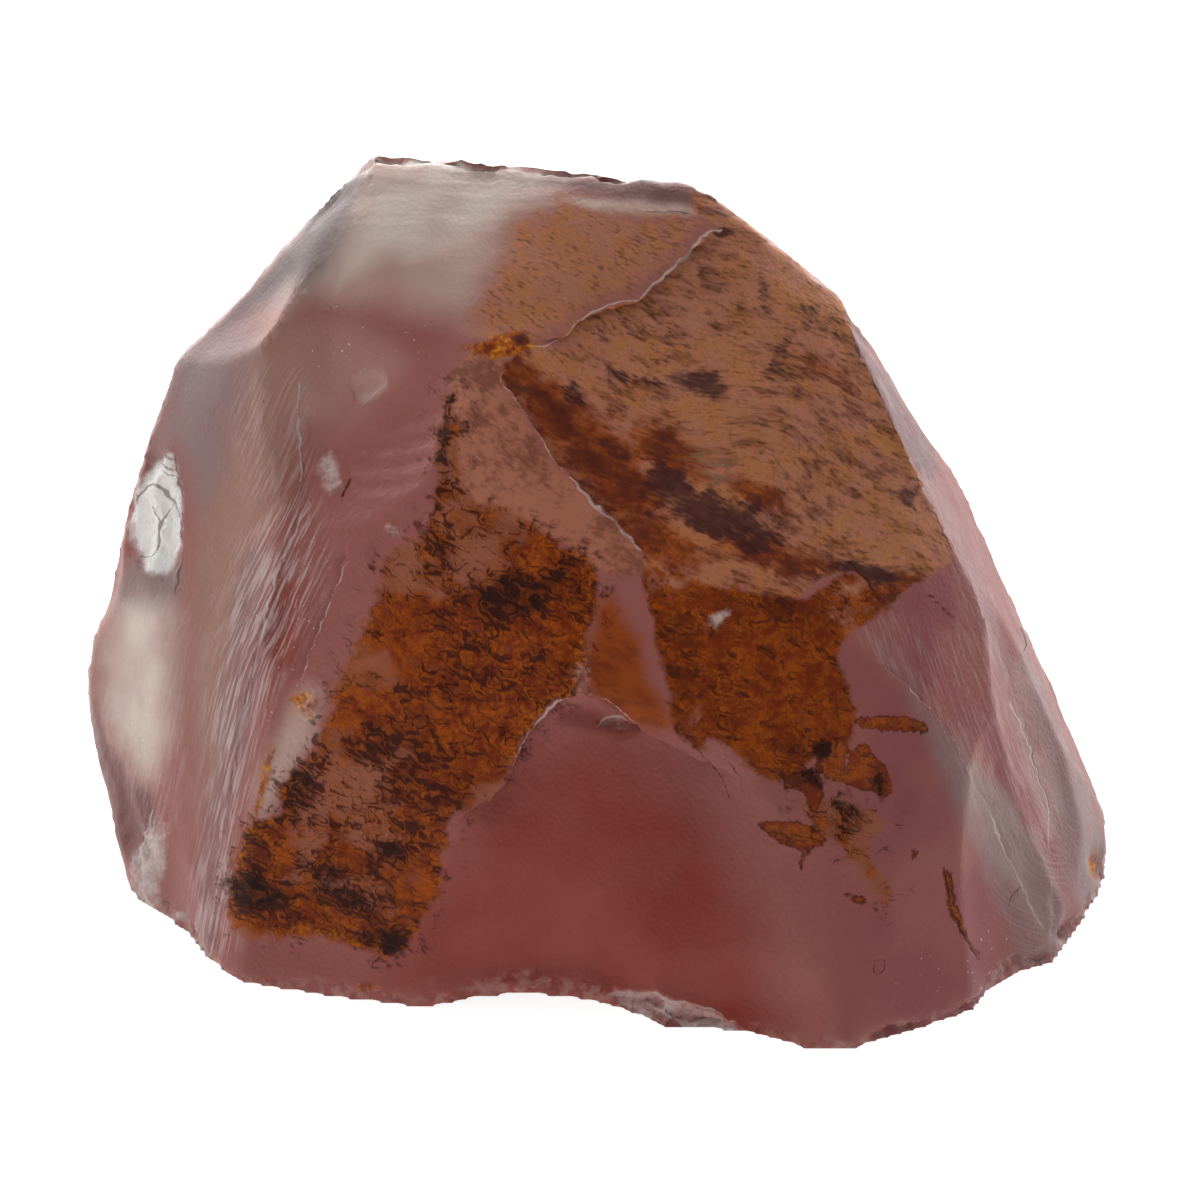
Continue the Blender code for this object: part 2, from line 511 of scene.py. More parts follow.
TINTS: Mapping[Mark, tuple[Union[Tint, Blot], ...]] = {
    # Pale cream tints. On the thin top facet, the top edge, the left rim and the lower right face and rim they are
    # painted light; the white patch, the small oval chip and the beige patch beside the gold spot are the stone's own
    # pale colour.
    Mark.PALE_AND_LIT: (
        Tint(((371, 158), (440, 150), (540, 160), (556, 190), (520, 205), (490, 238), (430, 262),
              (350, 282), (336, 286), (352, 215)), 30.0, 0.9),
        Tint(((560, 198), (620, 200), (696, 204), (700, 212), (610, 214)), 6.0, 0.7),
        Tint(((330, 200), (520, 200), (508, 240), (488, 282), (462, 314), (330, 300), (270, 300)), 32.0, 0.45),
        Tint(((112, 616), (164, 606), (176, 650), (168, 720), (150, 776), (130, 760), (106, 700)), 22.0, 0.8),
        Tint(((300, 320), (352, 318), (392, 340), (400, 376), (340, 430), (296, 410)), 30.0, 0.22),
        Tint(((352, 380), (368, 369), (388, 376), (386, 390), (368, 404), (358, 403)), 3.5, 0.35),
        Tint(((300, 690), (324, 702), (312, 740), (290, 772), (276, 800), (256, 824), (262, 770)), 13.0, 0.48),
        Tint(((960, 740), (1000, 790), (1030, 840), (1052, 900), (1044, 944), (1014, 900), (988, 850)), 14.0, 0.22),
        Tint(((1016, 660), (1040, 700), (1060, 790), (1050, 838), (1025, 760)), 6.0, 0.15),
    ),
    # Smoky grey tints, mostly along the rims; the one on the left bevel is painted shade, laid to darken a facet that
    # the light from behind makes bright.
    Mark.SMOKY_AND_SHADE: (
        Tint(((170, 350), (250, 312), (235, 420), (205, 500), (180, 450), (150, 480), (160, 410)), 30.0),
        Tint(((848, 308), (866, 350), (905, 430), (940, 520), (968, 590), (1000, 680), (1030, 770), (1050, 838),
              (1066, 800), (1048, 745), (1022, 680), (1000, 620), (975, 560), (950, 500), (915, 440),
              (880, 380)), 3.5, 0.3),
        Tint(((1020, 640), (1066, 745), (1100, 810), (1108, 880), (1080, 900), (1060, 860), (1050, 780)), 10.0, 0.8),
        Tint(((905, 690), (935, 716), (965, 752), (1000, 786), (1032, 830), (1062, 890), (1062, 945),
              (1026, 965), (1006, 915), (985, 865), (962, 820), (938, 765)), 9.0, 0.8),
        Tint(((868, 630), (900, 650), (925, 690), (905, 690)), 7.0, 0.4),
        Tint(((340, 160), (366, 158), (360, 220), (335, 275), (250, 312), (235, 305), (290, 245)), 14.0, 0.9),
        Tint(((520, 150), (720, 170), (740, 200), (700, 205), (560, 186)), 14.0, 0.6),
        Tint(((128, 560), (180, 560), (178, 596), (160, 612), (120, 612)), 10.0, 0.9),
        Tint(((240, 560), (268, 560), (262, 680), (240, 800), (215, 945), (196, 930), (212, 760)), 9.0, 0.5),
    ),
    # Painted shade: dark grey laid on the left bevel, the lower left rim, the upper right strip and the top edge, to
    # darken facets that the light from behind makes bright.
    Mark.PAINTED_SHADE: (
        Tint(((345, 158), (366, 156), (350, 212), (326, 262), (252, 308), (222, 330), (290, 245)), 14.0, 0.8),
        Tint(((92, 700), (104, 735), (128, 778), (156, 806), (144, 866), (110, 830), (92, 760)), 6.0, 0.45),
        Tint(((848, 300), (870, 345), (905, 400), (935, 450), (930, 480), (890, 420), (860, 350)), 6.0, 0.5),
        Tint(((560, 182), (600, 178), (690, 192), (700, 204), (620, 198)), 6.0, 0.4),
        Tint(((450, 164), (560, 172), (560, 184), (470, 180)), 6.0, 0.35),
    ),
    Mark.WARM: (
        Tint(((250, 340), (298, 330), (292, 430), (270, 520), (240, 620), (222, 760), (198, 800),
              (190, 640), (195, 540), (225, 440)), 28.0),
    ),
    Mark.LILAC: (
        Tint(((890, 600), (950, 556), (1000, 650), (1060, 820), (1085, 900), (1050, 970), (960, 1015),
              (900, 1030), (860, 960), (850, 860), (860, 740), (850, 660)), 40.0),
        Tint(((210, 640), (262, 600), (262, 660), (235, 800), (215, 940), (190, 940), (205, 780)), 16.0, 0.6),
    ),
    # Deeper rose. On the broken lower front face and the lower left rim it is painted shade, darker where the lump is
    # thick and little light comes through; the small patches higher up and the band along the bottom are the quartz's
    # own deeper tone.
    Mark.DEEP_TONE_AND_SHADE: (
        Tint(((455, 850), (520, 760), (600, 728), (680, 780), (730, 860), (760, 960), (770, 1050),
              (700, 1040), (600, 1010), (430, 1000), (380, 980)), 45.0),
        Tint(((262, 600), (300, 585), (296, 660), (268, 672)), 14.0, 0.8),
        Tint(((300, 314), (350, 308), (440, 314), (432, 344), (380, 354), (338, 348), (306, 336)), 18.0, 0.2),
        Tint(((215, 940), (330, 945), (420, 960), (420, 1010), (230, 990)), 24.0, 0.3),
        Tint(((92, 720), (108, 745), (128, 778), (156, 806), (142, 870), (110, 830)), 5.0, 0.4),
    ),
    Mark.CLEAR: (
        Tint(((164, 458), (174, 458), (179, 500), (180, 540), (168, 572), (146, 572), (136, 554),
              (128, 530), (130, 498), (144, 474)), 9.0, 0.95),
        Tint(((372, 148), (440, 146), (500, 152), (590, 162), (640, 170), (600, 176), (500, 168),
              (430, 166), (380, 164)), 6.0, 0.55),
        Blot((428, 156), 26.0, 7.0, 4.0, 0.9),
        Blot((510, 161), 16.0, 6.0, 4.0, 0.9),
        Blot((576, 168), 20.0, 6.0, 6.0, 0.9),
        Blot((636, 176), 34.0, 6.0, 8.0, 0.8),
        Tint(((610, 994), (650, 992), (700, 1004), (742, 1028), (720, 1036), (660, 1022), (622, 1010)), 6.0, 0.55),
    ),
    Mark.FROST: (
        Blot((150, 864), 46.0, 16.0, 102.0, 1.0),
        Blot((330, 476), 24.0, 12.0, 80.0, 0.9),
        Blot((395, 530), 12.0, 5.0, 20.0, 0.7),
        Blot((722, 617), 13.0, 7.0, -20.0, 1.0),
        Blot((312, 706), 20.0, 12.0, -60.0, 0.7),
        Blot((615, 728), 16.0, 7.0, 10.0, 0.8),
        Blot((177, 914), 7.0, 9.0, 0.0, 0.9),
        Blot((580, 678), 9.0, 14.0, 10.0, 0.6),
    ),
    Mark.STREAKS: (
        Tint(((262, 520), (300, 490), (322, 560), (294, 640), (264, 710), (246, 790), (234, 940), (196, 945),
              (205, 800), (215, 650), (236, 560)), 22.0),
        Tint(((240, 380), (306, 370), (306, 500), (250, 500)), 12.0, 0.5),
        Tint(((860, 330), (905, 410), (960, 560), (1030, 740), (1062, 830), (1050, 940), (1010, 940),
              (980, 820), (920, 700), (860, 640), (900, 610), (940, 640), (960, 600), (900, 440)), 16.0, 0.36),
        Tint(((400, 165), (600, 180), (560, 190), (505, 205), (480, 240), (350, 250), (370, 180)), 22.0, 0.45),
        Tint(((120, 600), (180, 600), (190, 700), (170, 820), (120, 780), (100, 690)), 24.0, 0.35),
    ),
    # Where painted pin-prick glints are strewn; in the broad sheet the same field also lays olive strands.
    Mark.GLINTS_AND_STRANDS: (
        Tint(((300, 308), (360, 300), (440, 312), (430, 350), (345, 360), (330, 400), (300, 400)), 10.0),
        Tint(((255, 560), (340, 540), (320, 650), (290, 720), (250, 700)), 16.0, 0.8),
        Tint(((900, 940), (1040, 930), (1050, 970), (960, 1016), (890, 1040)), 16.0, 0.9),
        Tint(((370, 150), (640, 165), (640, 180), (372, 170)), 6.0, 1.0),
        Blot((712, 467), 30.0, 15.0, 32.0, 1.0),
    ),
    Mark.EMBER: (
        Blot((548, 405), 60.0, 22.0, 52.0, 1.0),
        Blot((606, 462), 80.0, 30.0, 48.0, 1.0),
        Blot((668, 450), 46.0, 20.0, 38.0, 1.0),
        Blot((655, 540), 60.0, 22.0, 30.0, 0.8),
        Blot((755, 492), 36.0, 13.0, 30.0, 0.9),
        Blot((515, 380), 12.0, 26.0, -25.0, 0.9),
        Blot((780, 556), 70.0, 18.0, 18.0, 0.8),
        Blot((905, 588), 40.0, 14.0, 0.0, 0.9),
        Blot((835, 376), 36.0, 10.0, 40.0, 0.5),
        Blot((600, 650), 40.0, 70.0, 0.0, 0.9),
        Blot((560, 620), 50.0, 76.0, 0.0, 1.0),
        Blot((484, 726), 76.0, 42.0, -38.0, 1.0),
        Blot((440, 640), 60.0, 44.0, 0.0, 0.6),
        Blot((380, 720), 54.0, 30.0, 0.0, 0.6),
        Blot((256, 850), 34.0, 80.0, 10.0, 0.9),
        Blot((340, 925), 80.0, 26.0, 14.0, 0.8),
        Blot((420, 870), 22.0, 70.0, 0.0, 0.5),
        Blot((345, 860), 26.0, 14.0, 0.0, 0.9),
        Blot((740, 640), 90.0, 46.0, 0.0, 0.9),
        Blot((780, 710), 76.0, 50.0, 0.0, 1.0),
    ),
    Mark.SOOT: (
        Blot((766, 296), 9.0, 24.0, -16.0, 0.6),
        Blot((815, 318), 38.0, 13.0, 25.0, 0.55),
        Blot((777, 362), 10.0, 24.0, 22.0, 0.7),
        Blot((700, 382), 34.0, 13.0, 15.0, 0.95),
        Blot((636, 322), 40.0, 11.0, -20.0, 0.5),
        Blot((632, 378), 36.0, 8.0, 8.0, 0.6),
        Blot((574, 392), 14.0, 12.0, 30.0, 0.7),
        Blot((722, 231), 9.0, 5.0, 10.0, 1.2),
        Blot((910, 495), 16.0, 11.0, 0.0, 0.9),
        Blot((868, 575), 30.0, 12.0, 20.0, 1.0),
        Blot((672, 486), 34.0, 22.0, 40.0, 1.0),
        Blot((704, 512), 44.0, 22.0, 25.0, 1.0),
        Blot((745, 525), 46.0, 24.0, 32.0, 0.9),
        Blot((622, 455), 24.0, 9.0, 40.0, 0.6),
        Blot((800, 548), 30.0, 9.0, 24.0, 0.5),
        Blot((650, 512), 8.0, 5.0, 0.0, 0.8),
        Blot((452, 545), 66.0, 24.0, 20.0, 0.2),
        Blot((416, 590), 30.0, 40.0, 20.0, 0.15),
        Blot((515, 596), 66.0, 30.0, -14.0, 0.7),
        Blot((300, 800), 20.0, 34.0, 12.0, 0.7),
        Blot((262, 894), 36.0, 22.0, 20.0, 0.8),
        Blot((350, 898), 60.0, 22.0, 40.0, 0.8),
        Blot((385, 940), 28.0, 13.0, 35.0, 0.8),
        Blot((405, 745), 50.0, 30.0, -20.0, 0.5),
        Blot((395, 850), 18.0, 14.0, 0.0, 0.7),
        Blot((313, 728), 8.0, 13.0, 30.0, 0.9),
        Blot((822, 750), 12.0, 10.0, 0.0, 1.2),
        Blot((856, 818), 20.0, 12.0, -30.0, 0.6),
        Blot((812, 778), 22.0, 12.0, 20.0, 0.9),
        Blot((878, 786), 10.0, 17.0, -10.0, 0.9),
        Blot((846, 804), 22.0, 12.0, 10.0, 0.8),
        Blot((800, 865), 5.0, 12.0, -10.0, 1.0),
        Blot((184, 850), 7.0, 8.0, 0.0, 0.8),
        Blot((480, 365), 8.0, 4.0, -20.0, 0.5),
        Blot((523, 341), 10.0, 8.0, 0.0, 0.9),
        Blot((450, 398), 7.0, 12.0, 0.0, 0.8),
        Blot((443, 450), 8.0, 30.0, 5.0, 0.7),
        Blot((690, 690), 40.0, 26.0, 30.0, 0.5),
        Blot((850, 560), 16.0, 9.0, 0.0, 0.6),
        Blot((478, 324), 5.0, 3.0, -20.0, 0.8),
        Blot((660, 630), 40.0, 30.0, 20.0, 0.4),
        Blot((790, 610), 50.0, 20.0, 0.0, 0.4),
    ),
}

# Pale lines along broken ledges and chip rims: painted highlights, where the ledges catch the light.
LEDGE_HIGHLIGHTS: tuple[Trace, ...] = (
    Trace(((506, 366), (504, 383), (518, 408), (535, 431), (552, 455), (572, 480)), 1.0),
    Trace(((568, 478), (584, 494), (602, 510), (622, 530), (641, 550)), 2.5),
    Trace(((531, 347), (550, 345), (570, 331), (587, 314), (608, 306), (640, 297)), 0.9),
    Trace(((640, 297), (674, 266), (688, 253), (695, 243), (703, 234), (722, 230)), 1.5),
    Trace(((516, 756), (524, 742), (536, 722), (552, 706), (574, 698)), 1.4),
    Trace(((596, 730), (614, 720), (630, 724), (642, 732)), 1.5),
    Trace(((574, 698), (600, 697), (622, 708), (642, 728)), 0.9),
    Trace(((297, 376), (299, 420), (302, 460), (300, 484)), 1.1),
    Trace(((350, 560), (334, 590), (322, 622), (310, 650), (302, 682)), 1.0),
    Trace(((308, 500), (292, 540), (270, 590), (262, 640)), 1.2),
    Trace(((606, 996), (640, 994), (690, 1002), (722, 1014), (744, 1028)), 1.0),
    Trace(((622, 1006), (660, 1018), (700, 1032), (738, 1034)), 1.0),
    Trace(((868, 640), (905, 684), (940, 720), (966, 766), (985, 800)), 0.6),
    Trace(((985, 800), (1004, 846), (1020, 880), (1032, 910), (1045, 932)), 1.2),
    Trace(((1010, 700), (1030, 750), (1046, 800), (1050, 850)), 0.7),
    Trace(((155, 806), (146, 830), (140, 860)), 1.0),
    Trace(((352, 377), (364, 371), (374, 366), (389, 377), (382, 388), (372, 400), (362, 405), (354, 396)), 0.5),
)

DARK_LINES: tuple[Trace, ...] = (
    Trace(((176, 456), (178, 474), (180, 512), (182, 550), (180, 579), (174, 596)), 1.3),
    Trace(((131, 502), (140, 490), (150, 485), (160, 489), (170, 503), (176, 516), (180, 526)), 1.8),
    Trace(((170, 503), (163, 514), (157, 524), (156, 536), (155, 547), (146, 557), (137, 557)), 1.3),
    Trace(((148, 506), (153, 514), (156, 524)), 0.9),
    Trace(((134, 470), (146, 452), (154, 440)), 1.3),
    Trace(((164, 456), (170, 460), (177, 460)), 1.0),
    Trace(((160, 463), (168, 468), (178, 472)), 1.0),
    Trace(((160, 470), (170, 474), (178, 480)), 1.0),
    Trace(((843, 303), (850, 320), (856, 341), (864, 358), (875, 377), (889, 414), (904, 440), (930, 500),
           (954, 556)), 0.9),
    Trace(((965, 560), (1000, 650), (1030, 740), (1055, 830)), 0.7),
    Trace(((640, 211), (664, 212), (690, 211)), 0.7),
    Trace(((645, 186), (662, 189), (684, 187)), 0.7),
    Trace(((740, 760), (764, 768), (790, 778)), 1.3),
)

RUST_LINES: tuple[Trace, ...] = (
    Trace(((341, 499), (346, 488), (349, 480)), 1.5),
    Trace(((1022, 628), (1027, 640), (1026, 652)), 1.2),
    Trace(((690, 742), (706, 760), (722, 782), (730, 800)), 1.0),
    Trace(((722, 758), (736, 772), (748, 786)), 0.8),
    Trace(((945, 865), (950, 900), (962, 932), (980, 960)), 1.0),
    Trace(((876, 960), (884, 962), (886, 970), (879, 975), (873, 968), (876, 960)), 0.8),
    Trace(((1010, 908), (1014, 896), (1020, 886)), 0.8),
    Trace(((850, 560), (862, 574), (874, 590), (880, 604)), 1.2),
)

QUIET_FACES: tuple[Tint, ...] = (
    Tint(((440, 850), (510, 780), (600, 745), (720, 790), (820, 870), (880, 940), (860, 1040), (760, 1048),
          (690, 1036), (600, 1000), (540, 985), (430, 990)), 14.0),
    Tint(((560, 360), (690, 290), (740, 240), (830, 300), (900, 450), (940, 540), (800, 570), (660, 530)), 14.0),
    Tint(((320, 200), (440, 180), (680, 200), (660, 270), (520, 330), (330, 300)), 14.0),
)

JAGGED_RIMS: tuple[Tint, ...] = (
    Tint(((360, 140), (700, 165), (745, 210), (700, 210), (560, 186), (370, 176)), 12.0),
    Tint(((820, 1060), (980, 990), (1020, 930), (1080, 850), (1120, 860), (1100, 940), (1000, 1030)), 16.0),
    Tint(((120, 820), (170, 830), (190, 900), (200, 950), (150, 920)), 12.0),
)

GUIDES: tuple[Trace, ...] = (
    Trace(((372, 430), (345, 500), (318, 560), (285, 630), (262, 690), (240, 780), (225, 850), (205, 950))),
    Trace(((852, 330), (880, 390), (905, 440), (935, 510), (962, 580), (1000, 680), (1030, 760), (1060, 840))),
    Trace(((330, 172), (371, 158), (440, 154), (520, 163), (590, 172), (700, 190), (760, 215))),
)

STEPS: tuple[Step, ...] = (
    Step(Trace(((504, 378), (518, 408), (535, 431), (572, 480), (602, 510), (641, 550))), 0.75, 46.0, -1.0),
    Step(Trace(((531, 347), (570, 331), (587, 314), (640, 297), (674, 266), (695, 243), (722, 230))), 0.5, 60.0),
    Step(Trace(((450, 822), (500, 792), (518, 756), (536, 722), (574, 698), (600, 697), (642, 732),
                (700, 762), (740, 775))), 0.7, 60.0),
    Step(Trace(((860, 640), (905, 684), (940, 720), (985, 800), (1020, 880), (1045, 932))), 0.3, 40.0, -1.0),
    Step(Trace(((843, 303), (864, 358), (889, 414), (930, 500), (960, 560), (1000, 650), (1040, 770))),
         0.3, 16.0, -1.0, 0.05),
    Step(Trace(((296, 360), (299, 420), (303, 470), (290, 540), (264, 620), (240, 720), (222, 840))),
         0.1, 26.0, -1.0),
    Step(Trace(((352, 540), (334, 590), (318, 630), (302, 684))), 0.3, 22.0, 1.0),
)

CHIPS: tuple[Chip, ...] = (
    Chip((140, 525), 46.0, 20.0, 84.0, 0.6, 0.1),
    Chip((168, 530), 60.0, 15.0, 88.0, 0.4, 0.1),
    Chip((152, 470), 26.0, 12.0, -60.0, 0.5),
    Chip((371, 385), 22.0, 15.0, -50.0, 0.35, 0.05),
    Chip((600, 716), 46.0, 17.0, 12.0, 0.6),
    Chip((620, 727), 24.0, 9.0, 8.0, 0.35),
    Chip((676, 1016), 68.0, 17.0, 16.0, 1.0, 0.1),
    Chip((640, 1003), 30.0, 9.0, 8.0, 0.5),
    Chip((720, 1030), 26.0, 9.0, 20.0, 0.5),
    Chip((1012, 790), 60.0, 15.0, 66.0, 0.3),
    Chip((1034, 880), 42.0, 14.0, 70.0, 0.35),
    Chip((1004, 896), 34.0, 12.0, 62.0, 0.3),
    Chip((1100, 866), 24.0, 10.0, 80.0, 0.6),
    Chip((400, 158), 26.0, 8.0, 8.0, 0.5),
    Chip((470, 162), 34.0, 8.0, 6.0, 0.4),
    Chip((552, 168), 36.0, 8.0, 6.0, 0.5),
    Chip((612, 174), 26.0, 7.0, 8.0, 0.4),
    Chip((282, 624), 38.0, 16.0, 100.0, 0.6),
    Chip((120, 800), 50.0, 16.0, 74.0, 0.5),
    Chip((1068, 930), 26.0, 12.0, -40.0, 0.6),
    Chip((1040, 960), 22.0, 10.0, -30.0, 0.5),
    Chip((975, 1006), 34.0, 9.0, -18.0, 0.5),
    Chip((900, 1030), 34.0, 9.0, -18.0, 0.5),
)


@dataclass
class SurfaceNet:
    """The mesh's points with their neighbours, for measuring and moving them together."""

    places: np.ndarray
    edges: np.ndarray
    normals: np.ndarray

    @classmethod
    def of(cls, mesh: bpy.types.Mesh) -> "SurfaceNet":
        """Reads the points, edges and normals of a mesh."""
        count = len(mesh.vertices)
        places = np.empty(count * 3)
        mesh.vertices.foreach_get("co", places)
        normals = np.empty(count * 3)
        mesh.vertices.foreach_get("normal", normals)
        edges = np.empty(len(mesh.edges) * 2, dtype=np.int64)
        mesh.edges.foreach_get("vertices", edges)
        return cls(places.reshape(-1, 3), edges.reshape(-1, 2), normals.reshape(-1, 3))

    def around(self, values: np.ndarray, rounds: int = 1) -> np.ndarray:
        """Averages a field with its neighbours.

        Args:
            values: One number or one row for each point.
            rounds: How many times.

        Returns:
            The averaged field.
        """
        first, second = self.edges.T
        count = len(self.places)
        links = np.bincount(self.edges.ravel(), minlength=count) + 1.0
        result = values.astype(float)
        for _ in range(rounds):
            columns = result.reshape(count, -1).T
            summed = [
                column + np.bincount(first, column[second], count) + np.bincount(second, column[first], count)
                for column in columns
            ]
            result = (np.array(summed) / links).T.reshape(result.shape)
        return result

    def crest(self, rounds: int) -> np.ndarray:
        """Measures how much the surface bulges at each point.

        Args:
            rounds: How widely the surface is averaged first.

        Returns:
            Millimetres above the averaged surface: positive on ridges, negative in hollows.
        """
        smooth = self.around(self.places, rounds)
        return np.einsum("ij,ij->i", self.places - smooth, self.normals) / MM


@dataclass
class Relief:
    """Everything that raises or lowers the stone's surface, in millimetres."""

    net: SurfaceNet
    spots: np.ndarray
    front: np.ndarray
    crest: np.ndarray

    def traced(self) -> np.ndarray:
        """Steps and chips traced on the photograph, on the side that it shows."""
        total = np.zeros(len(self.spots))
        for step in STEPS:
            total += step.relief(self.spots)
        for chip in CHIPS:
            total += chip.relief(self.spots)
        return total * self.front

    def fibres(self, flow: np.ndarray, streaks: np.ndarray) -> np.ndarray:
        """Long fine grooves along the flow lines."""
        fine = grain(flow / (3.2, 90.0), 1.0, 3.0, 2)
        broad = grain(flow / (11.0, 160.0), 1.0, 4.0, 2)
        return streaks * (0.03 * fine + 0.05 * broad) * self.front

    def ripples(self) -> np.ndarray:
        """The hollow's shell-like arcs and the top facet's faint level ripples."""
        centre = np.array((372.0, 250.0))
        away = np.hypot(*(self.spots - centre).T)
        wobble = 5.0 * grain(self.spots, 60.0, 8.0, 2)
        arcs = np.sin((away + wobble) / 3.2) * ease(away, 150.0, 190.0) * (1.0 - ease(away, 240.0, 300.0))
        hollow = Tint(((310, 380), (470, 370), (470, 480), (400, 520), (320, 470)), 20.0).weight(self.spots)
        level = np.sin((self.spots[:, 1] + 9.0 * grain(self.spots, 90.0, 9.0, 2)) / 1.9)
        facet = Tint(((380, 165), (640, 180), (560, 200), (480, 230), (340, 260)), 16.0).weight(self.spots)
        return (0.055 * arcs * hollow + 0.03 * level * facet) * self.front

    def crumbled(self) -> np.ndarray:
        """Small shell-shaped bites along every sharp ridge and rim, all round the stone."""
        places = self.net.places / MM
        edge = ease(self.crest, 0.05, 0.25)
        where = ease(grain(places, 7.0, 1.0, 2), -0.35, 0.35)
        bites = shells(places, 2.6, 1) * where + 0.5 * shells(places, 1.1, 2)
        jagged = np.max([tint.weight(self.spots) for tint in JAGGED_RIMS], axis=0)
        amount = 0.55 * (1.0 - self.front) + self.front * (0.25 + 0.6 * jagged)
        return -edge * amount * bites

    def broken_faces(self) -> np.ndarray:
        """Broad shells and waves on the faces that the photograph doesn't show."""
        places = self.net.places / MM
        warp = places + 3.0 * np.column_stack([grain(places, 14.0, 20.0 + k, 2) for k in range(3)])
        bands = grain(warp * (1.0, 1.0, 2.2), 9.0, 5.0, 3)
        ridges = 0.5 - np.abs(bands)
        shells = np.sin(6.0 * grain(warp, 16.0, 6.0, 1) * math.pi)
        return (1.0 - self.front) * (0.55 * ridges + 0.05 * shells)

    def skin(self) -> np.ndarray:
        """The faint unevenness that the whole stone has."""
        places = self.net.places / MM
        return 0.16 * grain(places, 6.5, 11.0, 3) + 0.030 * grain(places, 0.9, 12.0, 2)

    def frosted(self, frost: np.ndarray, films: np.ndarray) -> np.ndarray:
        """Sugary lumps where the quartz is frosted, and the films' small crusts."""
        places = self.net.places / MM
        sugar = grain(places, 0.8, 13.0, 2)
        return frost * (0.12 + 0.2 * sugar) + films * 0.035 * grain(places, 0.7, 14.0, 2)


